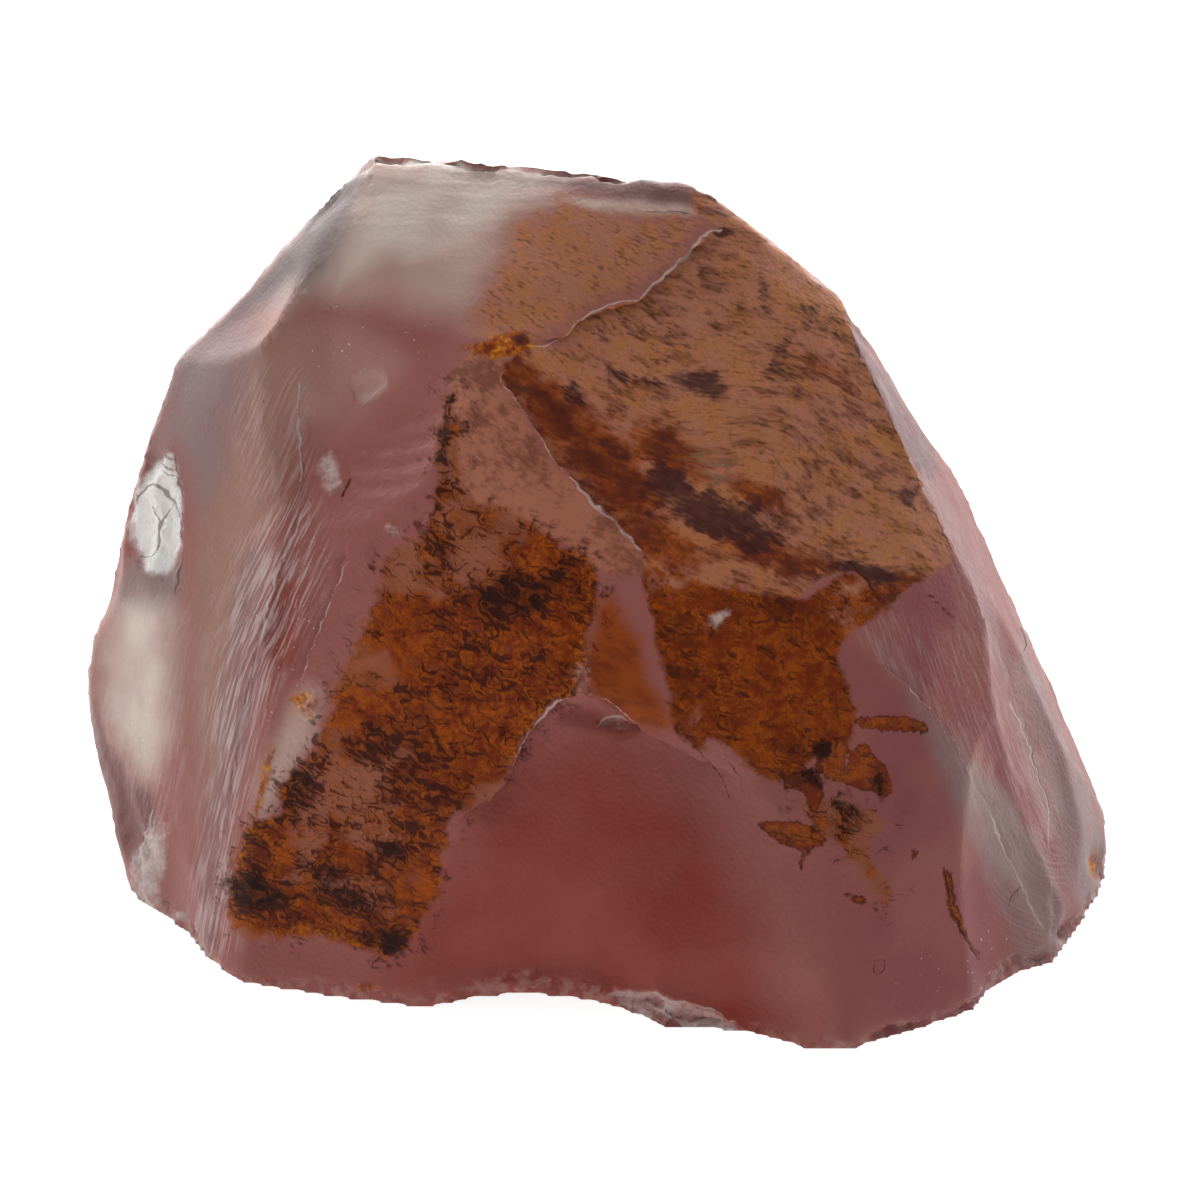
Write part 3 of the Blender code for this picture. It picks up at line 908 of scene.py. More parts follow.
@dataclass
class RoseQuartzLump:
    """The whole stone, one grown piece broken on every side."""

    node: bpy.types.Object
    view: Viewpoint
    voxel: float = 0.49 * MM
    line_band: float = 9.0
    line_rounds: int = 2
    crest_rounds: int = 10
    sharp_angle: float = math.radians(50.0)
    foot: float = 0.35
    flat_foot: float = 0.06 * MM

    def remeshed(self) -> bpy.types.Mesh:
        """Copies the CAD shape and gives it small even faces.

        Returns:
            The new mesh.
        """
        mesh = bpy.data.meshes.new("quartz_lump")
        work = bmesh.new()
        work.from_mesh(self.node.data)
        bmesh.ops.remove_doubles(work, verts=work.verts, dist=0.001 * MM)
        work.to_mesh(mesh)
        work.free()
        carrier = bpy.data.objects.new("quartz_lump_blank", mesh)
        bpy.context.scene.collection.objects.link(carrier)
        remesh = carrier.modifiers.new("even_faces", "REMESH")
        remesh.mode = "VOXEL"
        remesh.voxel_size = self.voxel
        depsgraph = bpy.context.evaluated_depsgraph_get()
        fine = bpy.data.meshes.new_from_object(carrier.evaluated_get(depsgraph))
        bpy.data.objects.remove(carrier)
        bpy.data.meshes.remove(mesh)
        work = bmesh.new()
        work.from_mesh(fine)
        flat = [face for face in work.faces if max(vert.co.z for vert in face.verts) < self.flat_foot]
        kept = bmesh.ops.dissolve_faces(work, faces=flat)["region"]
        bmesh.ops.triangulate(work, faces=[face for face in kept if face.is_valid])
        work.to_mesh(fine)
        work.free()
        return fine

    def soothe(self, mesh: bpy.types.Mesh) -> None:
        """Rounds the faces that the photograph shows smooth.

        Args:
            mesh: The mesh, which is changed.
        """
        net = SurfaceNet.of(mesh)
        facing = ease(net.normals @ self.view.toward_camera, 0.1, 0.3)
        weight = np.zeros(len(net.places))
        for tint in QUIET_FACES:
            weight = np.maximum(weight, tint.weight(self.view.pixels(net.places)))
        weight *= facing * ease(net.places[:, 2] / MM, 0.5, 9.0)
        smooth = net.around(net.places, 60)
        places = net.places + (smooth - net.places) * weight[:, None]
        mesh.vertices.foreach_set("co", places.ravel())
        mesh.update()

    def near_lines(self, spots: np.ndarray) -> np.ndarray:
        """How close spots are to any traced line, in pixels."""
        lines = [*LEDGE_HIGHLIGHTS, *DARK_LINES, *RUST_LINES, *(step.line for step in STEPS)]
        nearest = np.full(len(spots), np.inf)
        for line in lines:
            nearest = np.minimum(nearest, line.beside(spots, 2.0 * self.line_band)[0])
        return nearest

    def refine(self, mesh: bpy.types.Mesh) -> None:
        """Cuts the faces beside the traced lines smaller, so that steps and lines come out crisp.

        Args:
            mesh: The mesh, which is changed.
        """
        for turn in range(self.line_rounds):
            net = SurfaceNet.of(mesh)
            facing = net.normals @ self.view.toward_camera
            near = self.near_lines(self.hand_wavered(self.view.pixels(net.places))) < self.line_band / (turn + 1.0)
            wanted = (near & (facing > 0.05))[net.edges].all(axis=1)
            work = bmesh.new()
            work.from_mesh(mesh)
            work.edges.ensure_lookup_table()
            edges = [work.edges[index] for index in np.flatnonzero(wanted)]
            bmesh.ops.subdivide_edges(work, edges=edges, cuts=1, use_grid_fill=True)
            bmesh.ops.triangulate(work, faces=[face for face in work.faces if len(face.verts) > 4])
            work.to_mesh(mesh)
            work.free()

    def hand_wavered(self, spots: np.ndarray) -> np.ndarray:
        """Moves spots a few pixels about, so that every traced line and outline breaks unevenly."""
        moves = [3.2 * grain(spots, 30.0, seed, 2) + 1.5 * grain(spots, 7.0, seed + 2.0, 1) for seed in (41.0, 42.0)]
        return spots + np.column_stack(moves)

    def flow(self, spots: np.ndarray) -> np.ndarray:
        """Finds each spot's place across and along the nearest flow guide, in pixels."""
        best = np.full(len(spots), np.inf)
        result = np.zeros((len(spots), 2))
        for number, guide in enumerate(GUIDES):
            away, side, along = guide.beside(spots)
            closer = away < best
            place = np.column_stack((away * side + 400.0 * number, along * guide.length))
            result = np.where(closer[:, None], place, result)
            best = np.where(closer, away, best)
        return result

    def build(self, finish: "QuartzFinish") -> bpy.types.Object:
        """Makes the stone's mesh with all its relief and fields.

        Args:
            finish: The finish that it will have.

        Returns:
            The finished piece.
        """
        mesh = self.remeshed()
        self.soothe(mesh)
        self.refine(mesh)
        net = SurfaceNet.of(mesh)
        spots = self.hand_wavered(self.view.pixels(net.places))
        broad_normals = net.around(net.normals, 4)
        front = ease(broad_normals @ self.view.toward_camera, -0.12, 0.16)
        crest = net.crest(self.crest_rounds)
        fields = self.fields(net.places, spots, front, crest)
        relief = Relief(net, spots, front, crest)
        flow = np.column_stack((fields[Mark.FLOW_ACROSS], fields[Mark.FLOW_ALONG])) * 10.0
        films = ease(np.maximum(fields[Mark.NET], fields[Mark.BROAD_SHEET]), -3.0, 4.0)
        height = (relief.traced() + relief.fibres(flow, fields[Mark.STREAKS]) + relief.ripples()
                  + relief.crumbled() + relief.broken_faces() + relief.skin()
                  + relief.frosted(fields[Mark.FROST], films))
        lift = ease(net.places[:, 2] / MM, 0.0, self.foot)
        places = net.places + (height * lift * MM)[:, None] * net.normals
        places = self.keep_in_box(places, net.places[:, 2])
        mesh.vertices.foreach_set("co", places.ravel())
        mesh.update()
        self.store(mesh, fields, finish.stone_colours(fields))
        return self.finish(mesh)

    def keep_in_box(self, places: np.ndarray, heights: np.ndarray) -> np.ndarray:
        """Keeps the foot flat on the floor.

        Args:
            places: The moved points.
            heights: Each point's height before it moved.

        Returns:
            The points, with none below the floor.
        """
        kept = places.copy()
        kept[:, 2] = np.maximum(kept[:, 2], 0.0)
        kept[heights < 0.02 * MM, 2] = 0.0
        return kept

    def fields(self, places: np.ndarray, spots: np.ndarray, front: np.ndarray,
               crest: np.ndarray) -> dict[Mark, np.ndarray]:
        """Works out every field that the finish reads.

        Args:
            places: The points, in metres.
            spots: Where the points land on the photograph.
            front: How far each point faces the photograph's viewpoint, 0 to 1.
            crest: How much the surface bulges at each point.

        Returns:
            One array of numbers for each mark.
        """
        result = {Mark.FRONT: front, Mark.CREST: ease(crest, 0.05, 0.35), Mark.HOLLOW: ease(-crest, 0.04, 0.3)}
        for mark, outlines in FILMS.items():
            inside = np.full(len(spots), OUTSIDE)
            for outline in outlines:
                inside = np.maximum(inside, Trace(outline).inside(spots))
            result[mark] = np.clip(inside, OUTSIDE, -OUTSIDE) * front + OUTSIDE * (1.0 - front)
        for mark, tints in TINTS.items():
            weight = np.zeros(len(spots))
            for tint in tints:
                weight = np.maximum(weight, tint.weight(spots))
            result[mark] = weight * front
        for mark, lines in ((Mark.LEDGE_HIGHLIGHTS, LEDGE_HIGHLIGHTS), (Mark.DARK_LINES, DARK_LINES),
                            (Mark.RUST_LINES, RUST_LINES)):
            nearest = np.full(len(spots), 20.0)
            for line in lines:
                away, _, along = line.beside(spots, 60.0)
                swell = line.width * (0.35 + 0.65 * np.sin(np.clip(along, 0.0, 1.0) * math.pi) ** 0.5)
                nearest = np.minimum(nearest, away / swell)
            result[mark] = nearest * front + 20.0 * (1.0 - front)
        flow = self.flow(self.view.pixels(places))
        result[Mark.FLOW_ACROSS] = flow[:, 0] / 10.0
        result[Mark.FLOW_ALONG] = flow[:, 1] / 10.0
        places = places / MM
        result[Mark.CLOUD] = grain(places, 13.0, 31.0, 3)
        result[Mark.WISP] = grain(places, 3.4, 32.0, 2)
        result[Mark.MOTTLE] = grain(places, 1.7, 33.0, 2)
        result[Mark.DENSE] = grain(places, 5.0, 34.0, 2)
        result[Mark.DRIFT] = grain(places, 9.0, 35.0, 1)
        hidden = (result[Mark.CLOUD] + 0.35 * result[Mark.WISP] - 0.24) * 60.0 - 50.0 * ease(places[:, 2], 44.0, 53.0)
        result[Mark.HIDDEN] = np.clip(hidden, -30.0, 30.0) * (1.0 - front) - 30.0 * front
        return result

    def store(self, mesh: bpy.types.Mesh, fields: Mapping[Mark, np.ndarray], stone: np.ndarray) -> None:
        """Keeps the fields on the mesh's points, three to a layer, and the quartz's colour with its painted light and
        shade.

        Args:
            mesh: The mesh, which is changed.
            fields: The numbers of each mark.
            stone: The quartz's colour at each point, with its painted light and shade.
        """
        layers = {name: np.column_stack([fields[mark] for mark in marks]) for name, marks in FIELD_GROUPS.items()}
        layers[BODY_LAYER] = stone
        for name, values in layers.items():
            layer = mesh.attributes.new(name, "FLOAT_VECTOR", "POINT")
            layer.data.foreach_set("vector", values.astype(np.float32).ravel())

    def finish(self, mesh: bpy.types.Mesh) -> bpy.types.Object:
        """Shades the mesh smooth but for its sharp breaks, and makes it an object.

        Args:
            mesh: The finished mesh.

        Returns:
            The piece, which replaces the CAD node and rides on its body.
        """
        mesh.name = "quartz_lump"
        mesh.shade_smooth()
        mesh.set_sharp_from_angle(angle=self.sharp_angle)
        piece = bpy.data.objects.new("quartz_lump", mesh)
        bpy.context.scene.collection.objects.link(piece)
        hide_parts(STONE_NODE)
        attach(piece, "root")
        return piece

    def dress(self, piece: bpy.types.Object, finish: "QuartzFinish") -> None:
        """Gives the piece its finish."""
        piece.data.materials.clear()
        piece.data.materials.append(finish.material())


class Wire:
    """An output socket that takes part in Python arithmetic."""

    def __init__(self, sheet: "NodeSheet", socket: bpy.types.NodeSocket) -> None:
        """Wraps a socket of a node sheet."""
        self.sheet = sheet
        self.socket = socket

    def _with(self, operation: str, *others: Value, first: bool = True, clamp: bool = False) -> "Wire":
        """Adds a Math node that works on this wire and others."""
        values = (self, *others) if first else (*others, self)
        settings = {"operation": operation, "use_clamp": clamp}
        return self.sheet.node("ShaderNodeMath", settings, dict(enumerate(values)))

    def __add__(self, other: Value) -> "Wire":
        """Adds."""
        return self._with("ADD", other)

    def __radd__(self, other: Value) -> "Wire":
        """Adds the other way round."""
        return self._with("ADD", other)

    def __sub__(self, other: Value) -> "Wire":
        """Subtracts."""
        return self._with("SUBTRACT", other)

    def __rsub__(self, other: Value) -> "Wire":
        """Subtracts this wire from a number."""
        return self._with("SUBTRACT", other, first=False)

    def __mul__(self, other: Value) -> "Wire":
        """Multiplies."""
        return self._with("MULTIPLY", other)

    def __rmul__(self, other: Value) -> "Wire":
        """Multiplies the other way round."""
        return self._with("MULTIPLY", other)

    def __truediv__(self, other: Value) -> "Wire":
        """Divides."""
        return self._with("DIVIDE", other)

    def __abs__(self) -> "Wire":
        """Drops the sign."""
        return self._with("ABSOLUTE")

    def __pow__(self, other: Value) -> "Wire":
        """Raises to a power."""
        return self._with("POWER", other)

    def __or__(self, other: Value) -> "Wire":
        """Takes the larger of the two, as masks are joined."""
        return self._with("MAXIMUM", other)

    def __and__(self, other: Value) -> "Wire":
        """Takes the smaller of the two, as masks are crossed."""
        return self._with("MINIMUM", other)

    def rise(self, low: float, high: float) -> "Wire":
        """Rises smoothly from 0 at low to 1 at high, or falls where low is the larger."""
        settings = {"interpolation_type": "SMOOTHSTEP", "clamp": True}
        turned = low > high
        ends = (high, low, 1.0, 0.0) if turned else (low, high, 0.0, 1.0)
        names = ("Value", "From Min", "From Max", "To Min", "To Max")
        return self.sheet.node("ShaderNodeMapRange", settings, dict(zip(names, (self, *ends))))


class NodeSheet:
    """A material's node tree, with one way to add any node."""

    def __init__(self, name: str) -> None:
        """Makes an empty material of that name."""
        self.material = bpy.data.materials.new(name)
        self.material.use_nodes = True
        self.tree = self.material.node_tree
        self.tree.nodes.clear()
        self.fields: dict[Mark, Wire] = {}

    def add(self, kind: str, settings: Mapping[str, object], inputs: Mapping[object, object]) -> bpy.types.Node:
        """Adds a node.

        Args:
            kind: The node's Blender type.
            settings: Its properties, set first. A ramp's stops are given as "stops".
            inputs: Values or wires for its sockets, by name or number.

        Returns:
            The node.
        """
        node = self.tree.nodes.new(kind)
        for name, value in settings.items():
            if name == "stops":
                self._set_stops(node.color_ramp, value)
            else:
                setattr(node, name, value)
        for key, value in inputs.items():
            if isinstance(value, Wire):
                self.tree.links.new(value.socket, node.inputs[key])
            else:
                node.inputs[key].default_value = value
        return node

    def node(self, kind: str, settings: Mapping[str, object], inputs: Mapping[object, object],
             output: Union[int, str] = 0) -> Wire:
        """Adds a node and returns one of its outputs as a wire."""
        return Wire(self, self.add(kind, settings, inputs).outputs[output])

    @staticmethod
    def _set_stops(ramp: bpy.types.ColorRamp, stops: Sequence[tuple[float, Colour]]) -> None:
        """Sets a ramp's stops from pairs of place and colour."""
        while len(ramp.elements) < len(stops):
            ramp.elements.new(1.0)
        for element, (place, colour) in zip(ramp.elements, stops):
            element.position = place
            element.color = (*colour, 1.0)

    def layer(self, name: str) -> Wire:
        """Reads a layer of three numbers from the mesh's points."""
        settings = {"attribute_type": "GEOMETRY", "attribute_name": name}
        return self.node("ShaderNodeAttribute", settings, {}, "Vector")

    def field(self, mark: Mark) -> Wire:
        """Reads one of the mesh's fields, and keeps the other two of its layer at hand."""
        if mark not in self.fields:
            name, marks = next(item for item in FIELD_GROUPS.items() if mark in item[1])
            parts = self.add("ShaderNodeSeparateXYZ", {}, {0: self.layer(name)})
            self.fields.update({each: Wire(self, parts.outputs[k]) for k, each in enumerate(marks)})
        return self.fields[mark]

    def blend(self, below: Union[Wire, Colour], above: Union[Wire, Colour], mask: Value,
              mode: str = "MIX") -> Wire:
        """Lays one colour over another.

        Args:
            below: The colour underneath.
            above: The colour on top.
            mask: How much of the top one shows, 0 to 1.
            mode: Blender's blend type.

        Returns:
            The mixed colour.
        """
        settings = {"data_type": "RGBA", "blend_type": mode, "clamp_factor": True}
        pair = [part if isinstance(part, Wire) else (*part, 1.0) for part in (below, above)]
        return self.node("ShaderNodeMix", settings, {0: mask, 6: pair[0], 7: pair[1]}, 2)

    def noise(self, where: Wire, scale: float, detail: float = 2.0, rough: float = 0.5,
              flat: bool = False) -> Wire:
        """Cloudy noise of about 0 to 1 around 0.5, in space or on the first two coordinates."""
        inputs = {"Vector": where, "Scale": scale, "Detail": detail, "Roughness": rough}
        settings = {"noise_dimensions": "2D" if flat else "3D"}
        return self.node("ShaderNodeTexNoise", settings, inputs, "Fac")

    def cracks(self, where: Wire, scale: float) -> Wire:
        """Distance to the edges of a flat pattern of cells."""
        settings = {"voronoi_dimensions": "2D", "feature": "DISTANCE_TO_EDGE"}
        return self.node("ShaderNodeTexVoronoi", settings, {"Vector": where, "Scale": scale}, "Distance")


@dataclass(frozen=True)
class Grains:
    """The few patterns that the whole finish shares."""

    medium: Wire
    fine: Wire
    fibre: Wire
    streaky: Wire
    strokes: Wire
    clumps: Wire
    crinkles: Wire
    mottle: Wire
    bands: Wire


@dataclass(frozen=True)
class QuartzFinish:
    """Milky rose quartz with iron films lying in its breaks."""

    transmission: float = 0.4
    refraction: float = 1.544
    absorb_colour: Colour = (0.76, 0.40, 0.37)
    absorb_density: float = 48.0
    level: float = 0.05
    rose: Colour = shade(178, 119, 112)
    # Deeper rose, also laid as painted shade on the lower front face.
    deep: Colour = shade(162, 80, 67)
    mauve: Colour = shade(184, 128, 122)
    lilac: Colour = shade(170, 108, 111)
    # Smoky grey, also laid as painted shade on the left bevel.
    smoky: Colour = shade(167, 150, 149)
    warm: Colour = shade(189, 150, 134)
    # Pale cream, partly painted light; also the painted highlight along the ridges.
    cream: Colour = shade(255, 246, 230)
    # Clear white, also used for the painted pin-prick glints.
    clear: Colour = shade(255, 254, 250)
    # Frost white, also used for the painted highlights along the ledges.
    frost: Colour = shade(236, 228, 222)
    tan: Colour = shade(206, 142, 90)
    pink_brown: Colour = shade(203, 142, 112)
    umber: Colour = shade(84, 38, 12)
    rust: Colour = shade(134, 54, 0)
    amber: Colour = shade(188, 98, 0)
    gold: Colour = shade(236, 170, 20)
    oxblood: Colour = shade(62, 18, 0)
    soot: Colour = shade(28, 8, 2)
    plum: Colour = shade(62, 30, 30)
    olive: Colour = shade(160, 140, 106)
    # Dark grey for the painted shade.
    slate: Colour = shade(104, 94, 94)
    haze: Colour = shade(224, 206, 202)

    def material(self) -> bpy.types.Material:
        """Builds the material.

        Returns:
            The stone's material.
        """
        sheet = NodeSheet("rose_quartz_rough")
        metres = sheet.node("ShaderNodeTexCoord", {}, {}, "Object")
        where = sheet.node("ShaderNodeVectorMath", {"operation": "SCALE"}, {0: metres, "Scale": 1.0 / MM})
        grains = self.grains(sheet, where)
        body = self.body_colour(sheet, grains)
        body, film = self.films(sheet, grains, body)
        body = self.details(sheet, grains, body)
        bump = sheet.node("ShaderNodeBump", {}, {
            "Height": sheet.noise(where, 3.1, 0.0, 0.6), "Strength": 0.35, "Distance": 0.12 * MM,
        })
        glassy = sheet.field(Mark.CLEAR) | sheet.field(Mark.CREST)
        shader = sheet.add("ShaderNodeBsdfPrincipled", {}, {
            "Base Color": body,
            "Roughness": 0.28 + grains.medium * 0.24 + film * 0.16 - glassy * 0.2,
            "IOR": self.refraction,
            "Transmission Weight": self.transmission,
            "Specular IOR Level": self.level,
            "Normal": bump,
        })
        absorb = sheet.add("ShaderNodeVolumeAbsorption", {}, {
            "Color": (*self.absorb_colour, 1.0), "Density": self.absorb_density,
        })
        out = sheet.add("ShaderNodeOutputMaterial", {}, {})
        sheet.tree.links.new(shader.outputs[0], out.inputs["Surface"])
        sheet.tree.links.new(absorb.outputs[0], out.inputs["Volume"])
        return sheet.material

    def grains(self, sheet: NodeSheet, where: Wire) -> Grains:
        """Makes the shared patterns.

        Args:
            sheet: The material's nodes.
            where: Coordinates in millimetres.

        Returns:
            The patterns.
        """
        medium = sheet.noise(where, 0.95, 2.0, 0.62)
        fine = sheet.noise(where, 2.7, 2.0, 0.65)
        flow = {"X": sheet.field(Mark.FLOW_ACROSS) * 3.6, "Y": sheet.field(Mark.FLOW_ALONG) * 0.2}
        fibre = sheet.noise(sheet.node("ShaderNodeCombineXYZ", {}, flow), 1.0, 2.0, 0.65, flat=True)
        drift = sheet.field(Mark.DRIFT)
        facing = sheet.node("ShaderNodeMapping", {}, {"Vector": where, "Rotation": (math.radians(-65.0), 0.0, 0.0)})
        parts = sheet.add("ShaderNodeSeparateXYZ", {}, {0: facing})
        right, up = Wire(sheet, parts.outputs["X"]), Wire(sheet, parts.outputs["Y"])
        along = right * 0.92 - up * 0.39 + drift * 1.2
        across = right * 0.39 + up * 0.92 + drift * 1.7
        lain = sheet.node("ShaderNodeCombineXYZ", {}, {"X": along * 1.15, "Y": across * 3.9})
        streaky = sheet.noise(lain, 1.0, 2.0, 0.62, flat=True)
        bent = {"X": right + (medium - 0.5) * 2.4, "Y": up + (fine - 0.5) * 2.0 - (medium - 0.5) * 2.0}
        cells = sheet.cracks(sheet.node("ShaderNodeCombineXYZ", {}, bent), 1.2)
        drawn = sheet.node("ShaderNodeCombineXYZ", {}, {"X": along * 0.34 + medium * 0.5, "Y": across * 1.05 + medium * 0.7})
        bands = sheet.noise(drawn, 1.0, 2.0, 0.6, flat=True)
        lengthwise, crosswise = right * 0.78 - up * 0.62, right * 0.62 + up * 0.78
        furled = {"X": lengthwise * 0.42 + medium * 0.7, "Y": crosswise * 0.8 + medium * 0.8}
        furrows = sheet.noise(sheet.node("ShaderNodeCombineXYZ", {}, furled), 1.0, 1.5, 0.55, flat=True)
        mottle = sheet.field(Mark.MOTTLE) * 0.5 + 0.5
        density = sheet.field(Mark.SOOT) * 0.5 + sheet.field(Mark.DENSE) * 0.14 + mottle * 0.5 + medium * 0.55
        clumps = density.rise(0.66, 1.15)
        strokes = (cells + (fine - 0.5) * 0.24 - density * 0.42).rise(-0.1, -0.26) * 0.45
        width = density * 0.13 + (bands - 0.5) * 0.12 - 0.035
        strokes = strokes | (width - abs(furrows - 0.45)).rise(-0.012, 0.04) | (width * 0.8 - abs(furrows - 0.6)).rise(-0.01, 0.04)
        crinkles = abs(medium - 0.5).rise(0.022, 0.008) | (abs(medium - 0.57).rise(0.016, 0.006))
        return Grains(medium, fine, fibre, streaky, strokes, clumps, crinkles, mottle, bands)

    def stone_colours(self, fields: Mapping[Mark, np.ndarray]) -> np.ndarray:
        """Clouds of rose, with the cooler, warmer and paler parts, and painted light and shade on some facets and
        rims, worked out at each point.

        Args:
            fields: The numbers of each mark.

        Returns:
            One colour a row.
        """
        wisp = fields[Mark.WISP]
        layers = (
            (self.mauve, ease(fields[Mark.CLOUD], -0.5, 0.6) * (1.0 - 0.75 * fields[Mark.FRONT])),
            (self.deep, ease(fields[Mark.WISP] + fields[Mark.CLOUD], -0.3, 0.5) * 0.5 * (1.0 - fields[Mark.FRONT])),
            # Painted shade on the lower front face, with the quartz's own deeper tone.
            (self.deep, fields[Mark.DEEP_TONE_AND_SHADE] * (0.8 + 0.2 * ease(wisp, -0.6, 0.4))),
            (self.lilac, fields[Mark.LILAC] * ease(wisp, -0.6, 0.4)),
            (self.warm, fields[Mark.WARM] * 0.95),
            # Smoky grey, with painted shade on the left bevel.
            (self.smoky, fields[Mark.SMOKY_AND_SHADE] * (0.74 + 0.18 * ease(wisp, -0.6, 0.5))),
            # Pale tints, partly painted light on the thin top facet and the rims.
            (self.cream, fields[Mark.PALE_AND_LIT] * (0.66 + 0.32 * ease(wisp, -0.6, 0.5))),
            # Painted shade on the left bevel, the rims and the top edge.
            (self.slate, fields[Mark.PAINTED_SHADE]),
        )
        colours = np.tile(self.rose, (len(wisp), 1))
        for colour, weight in layers:
            colours += (np.array(colour) - colours) * weight[:, None]
        return colours

    def body_colour(self, sheet: NodeSheet, grains: Grains) -> Wire:
        """The quartz itself, with its fibres, its clear parts and a painted highlight along its ridges.

        Args:
            sheet: The material's nodes.
            grains: The shared patterns.

        Returns:
            The colour.
        """
        streaks = sheet.field(Mark.STREAKS)
        body = sheet.layer(BODY_LAYER)
        body = sheet.blend(body, self.haze, grains.fibre.rise(0.44, 0.66) * streaks * 0.75)
        body = sheet.blend(body, self.deep, grains.fibre.rise(0.42, 0.3) * streaks * 0.2)
        body = sheet.blend(body, self.clear, (sheet.field(Mark.CLEAR) * 1.4 + grains.medium).rise(0.7, 1.8))
        # Painted highlight: the ridges are paled with cream, as where they catch the light.
        return sheet.blend(body, self.cream, sheet.field(Mark.CREST) * grains.medium.rise(0.4, 0.6) * 0.2)

    def films(self, sheet: NodeSheet, grains: Grains, body: Wire) -> tuple[Wire, Wire]:
        """The iron films, layer over layer.

        Args:
            sheet: The material's nodes.
            grains: The shared patterns.
            body: The quartz colour.

        Returns:
            The colour with its films, and the mask of all of them.
        """
        medium, fine, mottle, strokes = grains.medium, grains.fine, grains.mottle, grains.strokes
        streaky, clumps, bands = grains.streaky, grains.clumps, grains.bands
        ragged = (medium - 0.5) * 30.0
        crisp = (fine - 0.5) * 9.0
        ember = sheet.field(Mark.EMBER)
        soot = sheet.field(Mark.SOOT)
        grime = mottle * 0.6 + medium * 0.9 + fine * 0.35
        pinkish = sheet.blend(self.pink_brown, self.tan, grime.rise(0.75, 1.15))
        hot = sheet.blend(self.rust, self.amber, (medium * 0.7 + fine * 0.4).rise(0.42, 0.68))
        dashes = (streaky + sheet.field(Mark.DENSE) * 0.07 + soot * 0.06).rise(0.53, 0.69)
        dashes = dashes * (mottle * 0.3 + bands * 1.1).rise(0.45, 0.85)
        specks = fine.rise(0.57, 0.7)

        top = (sheet.field(Mark.TOP_SHEET) + ragged * 1.2).rise(-6.0, 24.0)
        top_colour = sheet.blend(pinkish, self.umber, dashes * 0.65)
        top_colour = sheet.blend(top_colour, self.umber, clumps * specks * 0.8)
        body = sheet.blend(body, top_colour, top * 0.86)
        mott = (sheet.field(Mark.MOTTLED) + ragged).rise(-3.0, 7.0)
        speckled = sheet.blend(self.pink_brown, self.umber, (grime * 0.7 + streaky * 0.5).rise(0.8, 1.1) * 0.6)
        body = sheet.blend(body, speckled, mott * 0.85)

        broad = (sheet.field(Mark.BROAD_SHEET) + crisp * 0.5).rise(-2.0, 2.0) * 0.94
        glow = (ember * 1.3 + bands * 1.1 + streaky * 0.7).rise(1.0, 2.0)
        broad_colour = sheet.blend(pinkish, hot, glow)
        broad_colour = sheet.blend(broad_colour, self.umber, dashes * 0.6)
        shadowed = (bands * 1.3 + streaky * 0.4 + ember * 0.2 + sheet.field(Mark.DENSE) * 0.15).rise(0.78, 1.2)
        broad_colour = sheet.blend(broad_colour, self.umber, (specks * 0.3) | (shadowed * 0.54))
        lumps = (ember * 0.3 + bands * 0.5 + medium * 0.5 + fine * 0.2).rise(0.78, 1.0) * ember
        broad_colour = sheet.blend(broad_colour, self.oxblood, lumps * 0.6)
        smudge = (soot * 1.3 + streaky * 1.1 + bands * 0.8).rise(1.3, 2.15)
        broad_colour = sheet.blend(broad_colour, self.plum, smudge * 0.88)
        strands = sheet.field(Mark.GLINTS_AND_STRANDS) * streaky.rise(0.5, 0.6)
        broad_colour = sheet.blend(broad_colour, self.olive, strands * 0.8)
        body = sheet.blend(body, broad_colour, broad)

        amber = (sheet.field(Mark.AMBER) + crisp * 0.5 + ragged * 0.3).rise(-9.0, 12.0)
        amber_colour = sheet.blend(self.rust, self.amber, (mottle * 0.6 + bands).rise(0.4, 1.0))
        body = sheet.blend(body, sheet.blend(amber_colour, self.umber, 0.2), amber * 0.95)

        orange = (sheet.field(Mark.ORANGE) + crisp + ragged * 0.3).rise(-3.0, 4.0)
        orange_colour = sheet.blend(pinkish, hot, (grime + ember * 0.6).rise(0.6, 1.05))
        orange_colour = sheet.blend(orange_colour, self.oxblood, (bands + mottle * 0.3).rise(0.62, 0.95) * 0.4)
        orange_colour = sheet.blend(orange_colour, self.oxblood, strokes * medium.rise(0.36, 0.56) * 0.8)
        orange_colour = sheet.blend(orange_colour, self.oxblood, specks * 0.6)
        body = sheet.blend(body, orange_colour, orange)

        net = sheet.field(Mark.NET) + ragged * 0.6
        net_mask = net.rise(-5.0, 5.0)
        heat = (ember * 0.9 + mottle * 0.7 + medium * 0.6 + fine * 0.3).rise(0.62, 1.15)
        net_colour = sheet.blend(sheet.blend(pinkish, self.rust, 0.42), hot, heat)
        net_colour = sheet.blend(net_colour, self.oxblood, (bands + mottle * 0.3 + soot * 0.2).rise(0.62, 1.0) * 0.4)
        net_colour = sheet.blend(net_colour, self.gold, net.rise(12.0, 4.0) * ember * fine.rise(0.45, 0.6) * 0.35)
        net_colour = sheet.blend(net_colour, self.oxblood, strokes * 0.9)
        net_colour = sheet.blend(net_colour, self.soot, strokes * clumps * 0.7)
        body = sheet.blend(body, net_colour, net_mask)
        fringe = net.rise(-26.0, -4.0) * net.rise(6.0, -4.0)
        body = sheet.blend(body, self.oxblood, fringe * strokes * medium.rise(0.45, 0.6) * 0.8)

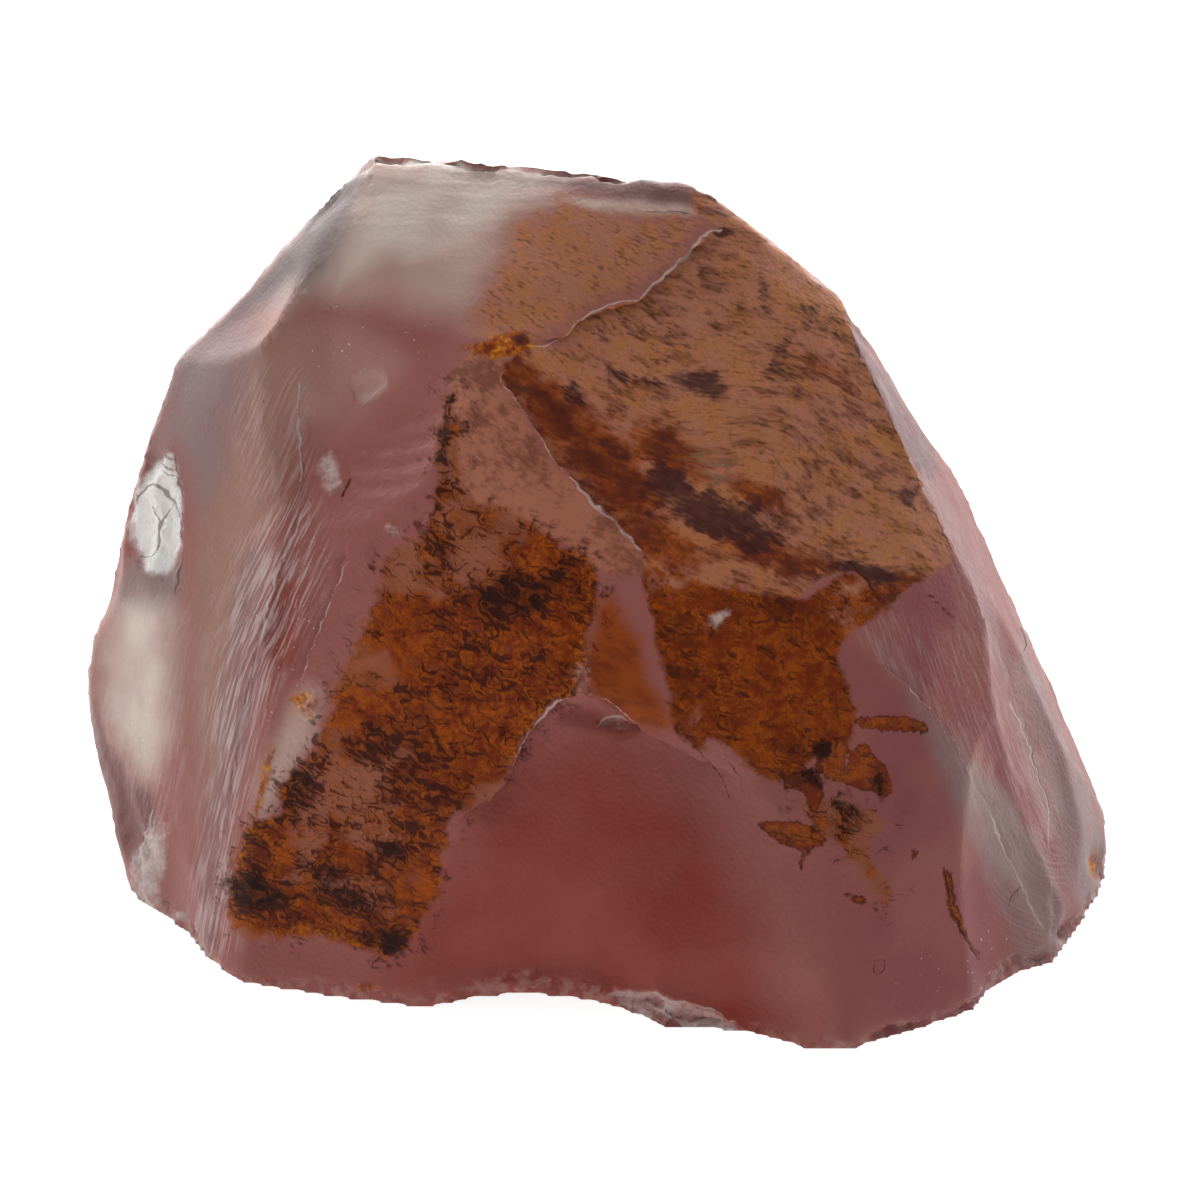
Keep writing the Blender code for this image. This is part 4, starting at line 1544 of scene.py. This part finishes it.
        flakes = sheet.field(Mark.FLAKES) + crisp * 0.9
        flake_mask = flakes.rise(-1.2, 0.8)
        flake_colour = sheet.blend(self.rust, self.amber, (grime + flakes * 0.02).rise(0.8, 1.15))
        flake_colour = sheet.blend(flake_colour, self.oxblood, flakes.rise(2.6, 0.4) * medium.rise(0.4, 0.6) * 0.85)
        flake_colour = sheet.blend(flake_colour, self.oxblood, (specks | strokes) * 0.75)
        body = sheet.blend(body, flake_colour, flake_mask * 0.92)
        spots = (soot + fine * 0.8 + medium * 0.5).rise(1.25, 1.6) * (flakes.rise(-14.0, -4.0) | net_mask)
        body = sheet.blend(body, self.soot, spots * 0.85)
        gold = (sheet.field(Mark.GOLD) + crisp * 0.9 + ragged * 0.15).rise(-2.0, 3.5)
        gold_colour = sheet.blend(self.rust, self.amber, medium.rise(0.4, 0.5))
        gold_colour = sheet.blend(gold_colour, self.gold, (medium * 0.6 + fine * 0.6).rise(0.6, 0.75))
        gold_colour = sheet.blend(gold_colour, self.oxblood, soot.rise(0.3, 0.9) * 0.8)
        body = sheet.blend(body, gold_colour, gold * 0.92)

        hidden = (sheet.field(Mark.HIDDEN) + ragged * 0.8).rise(-8.0, 14.0)
        hidden_colour = sheet.blend(pinkish, hot, grime.rise(0.9, 1.2))
        hidden_colour = sheet.blend(hidden_colour, self.oxblood, grains.crinkles * 0.8)
        body = sheet.blend(body, hidden_colour, hidden * 0.8)
        return body, top | mott | broad | amber | orange | net_mask | flake_mask | hidden

    def details(self, sheet: NodeSheet, grains: Grains, body: Wire) -> Wire:
        """Painted highlights along broken edges, hairlines, frosting and painted pin-prick glints.

        Args:
            sheet: The material's nodes.
            grains: The shared patterns.
            body: The colour so far.

        Returns:
            The finished colour.
        """
        uneven = grains.medium * 1.2 + grains.fine * 0.6 - 0.9
        # Painted highlight along the ledges and chip rims.
        ledge_highlight_mask = (sheet.field(Mark.LEDGE_HIGHLIGHTS) + uneven).rise(1.3, 0.5)
        body = sheet.blend(body, self.frost, ledge_highlight_mask * 0.6)
        dark = (sheet.field(Mark.DARK_LINES) + uneven).rise(1.3, 0.5)
        body = sheet.blend(body, self.plum, dark * 0.55)
        rust = (sheet.field(Mark.RUST_LINES) + uneven).rise(1.3, 0.5)
        body = sheet.blend(body, self.oxblood, rust * 0.85)
        sugar = (sheet.field(Mark.FROST) + grains.fine * 0.9 + grains.medium * 0.9).rise(1.15, 2.3)
        body = sheet.blend(body, self.frost, sugar * 0.85)
        # Painted highlight: tiny white pin-prick glints.
        painted_glints = grains.fine.rise(0.68, 0.74)
        return sheet.blend(body, self.clear, painted_glints * sheet.field(Mark.GLINTS_AND_STRANDS))


@dataclass
class LightTable:
    """The pale floor, the plain backdrop of light and the soft lamp."""

    floor_size: float = 6.0
    floor_colour: Colour = (0.34, 0.34, 0.34)
    floor_glow: float = 0.86
    sky_dim: Colour = (0.25, 0.25, 0.256)
    sky_bright: Colour = (4.2, 4.2, 4.25)
    light_from: tuple[float, float, float] = (0.0, 0.94, 0.34)
    drop: float = 0.05 * MM

    def lay_floor(self) -> bpy.types.Object:
        """Makes the floor, which glows softly as a light table does.

        Returns:
            The floor.
        """
        mesh = bpy.data.meshes.new("studio_floor")
        work = bmesh.new()
        bmesh.ops.create_grid(work, x_segments=1, y_segments=1, size=self.floor_size / 2.0)
        bmesh.ops.translate(work, verts=work.verts, vec=(0.0, 0.0, -self.drop))
        work.to_mesh(mesh)
        work.free()
        floor = bpy.data.objects.new("studio_floor", mesh)
        bpy.context.scene.collection.objects.link(floor)
        sheet = NodeSheet("studio_floor_pale")
        shader = sheet.add("ShaderNodeBsdfPrincipled", {}, {
            "Base Color": (*self.floor_colour, 1.0), "Roughness": 0.9, "Specular IOR Level": 0.1,
            "Emission Color": (1.0, 1.0, 1.0, 1.0), "Emission Strength": self.floor_glow,
        })
        out = sheet.add("ShaderNodeOutputMaterial", {}, {})
        sheet.tree.links.new(shader.outputs[0], out.inputs["Surface"])
        sheet.material.cycles.emission_sampling = "NONE"
        mesh.materials.append(sheet.material)
        return floor

    def hang_lamp(self, name: str, place: Colour, size: float, power: float) -> bpy.types.Object:
        """Hangs a square soft lamp that looks at the stone.

        Args:
            name: The lamp's name.
            place: Where it hangs, in metres.
            size: Its side in metres.
            power: Its power in watts.

        Returns:
            The lamp.
        """
        light = bpy.data.lights.new(name, "AREA")
        light.size = size
        light.energy = power
        lamp = bpy.data.objects.new(name, light)
        bpy.context.scene.collection.objects.link(lamp)
        lamp.location = place
        back = Vector(place) - Vector((0.0, 0.0, 0.03))
        lamp.rotation_euler = back.to_track_quat("Z", "Y").to_euler()
        return lamp

    def fill_sky(self) -> None:
        """Lights the world softly, brighter from behind and above than from the front."""
        world = bpy.data.worlds.new("studio_sky")
        world.use_nodes = True
        nodes, links = world.node_tree.nodes, world.node_tree.links
        sky = nodes["Background"]
        ray = nodes.new("ShaderNodeTexCoord")
        dot = nodes.new("ShaderNodeVectorMath")
        dot.operation = "DOT_PRODUCT"
        dot.inputs[1].default_value = self.light_from
        fade = nodes.new("ShaderNodeMapRange")
        fade.interpolation_type = "SMOOTHSTEP"
        fade.inputs["From Min"].default_value = 0.0
        fade.inputs["From Max"].default_value = 1.0
        blend = nodes.new("ShaderNodeMix")
        blend.data_type = "RGBA"
        blend.inputs[6].default_value = (*self.sky_dim, 1.0)
        blend.inputs[7].default_value = (*self.sky_bright, 1.0)
        links.new(ray.outputs["Generated"], dot.inputs[0])
        links.new(dot.outputs["Value"], fade.inputs["Value"])
        links.new(fade.outputs[0], blend.inputs[0])
        links.new(blend.outputs[2], sky.inputs["Color"])
        bpy.context.scene.world = world

    def set_up(self) -> None:
        """Makes the whole setting."""
        self.lay_floor()
        self.fill_sky()
        self.hang_lamp("left_lamp", (-0.9, 0.1, 0.8), 0.7, 4.0)


def set_picture_tone() -> None:
    """Shows colours as they are, and bounds how far light is followed."""
    scene = bpy.context.scene
    scene.view_settings.view_transform = "Standard"
    scene.view_settings.look = "None"
    scene.view_settings.gamma = 0.86
    scene.cycles.max_bounces = 3
    scene.cycles.diffuse_bounces = 1
    scene.cycles.transmission_bounces = 3
    scene.cycles.transparent_max_bounces = 8
    scene.cycles.sample_clamp_indirect = 4.0
    scene.cycles.adaptive_threshold = 0.25


def main() -> None:
    """Builds the stone and its setting, and reports each piece."""
    logging.basicConfig(level=logging.INFO, format="%(name)s: %(message)s")
    view = Viewpoint()
    view.place_camera()
    set_picture_tone()
    LightTable().set_up()
    lump = RoseQuartzLump(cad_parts[STONE_NODE], view)
    finish = QuartzFinish()
    piece = lump.build(finish)
    lump.dress(piece, finish)
    triangles = sum(len(face.vertices) - 2 for face in piece.data.polygons)
    LOG.info("%s: %d points, %d triangles", piece.name, len(piece.data.vertices), triangles)


if __name__ == "__main__":
    main()
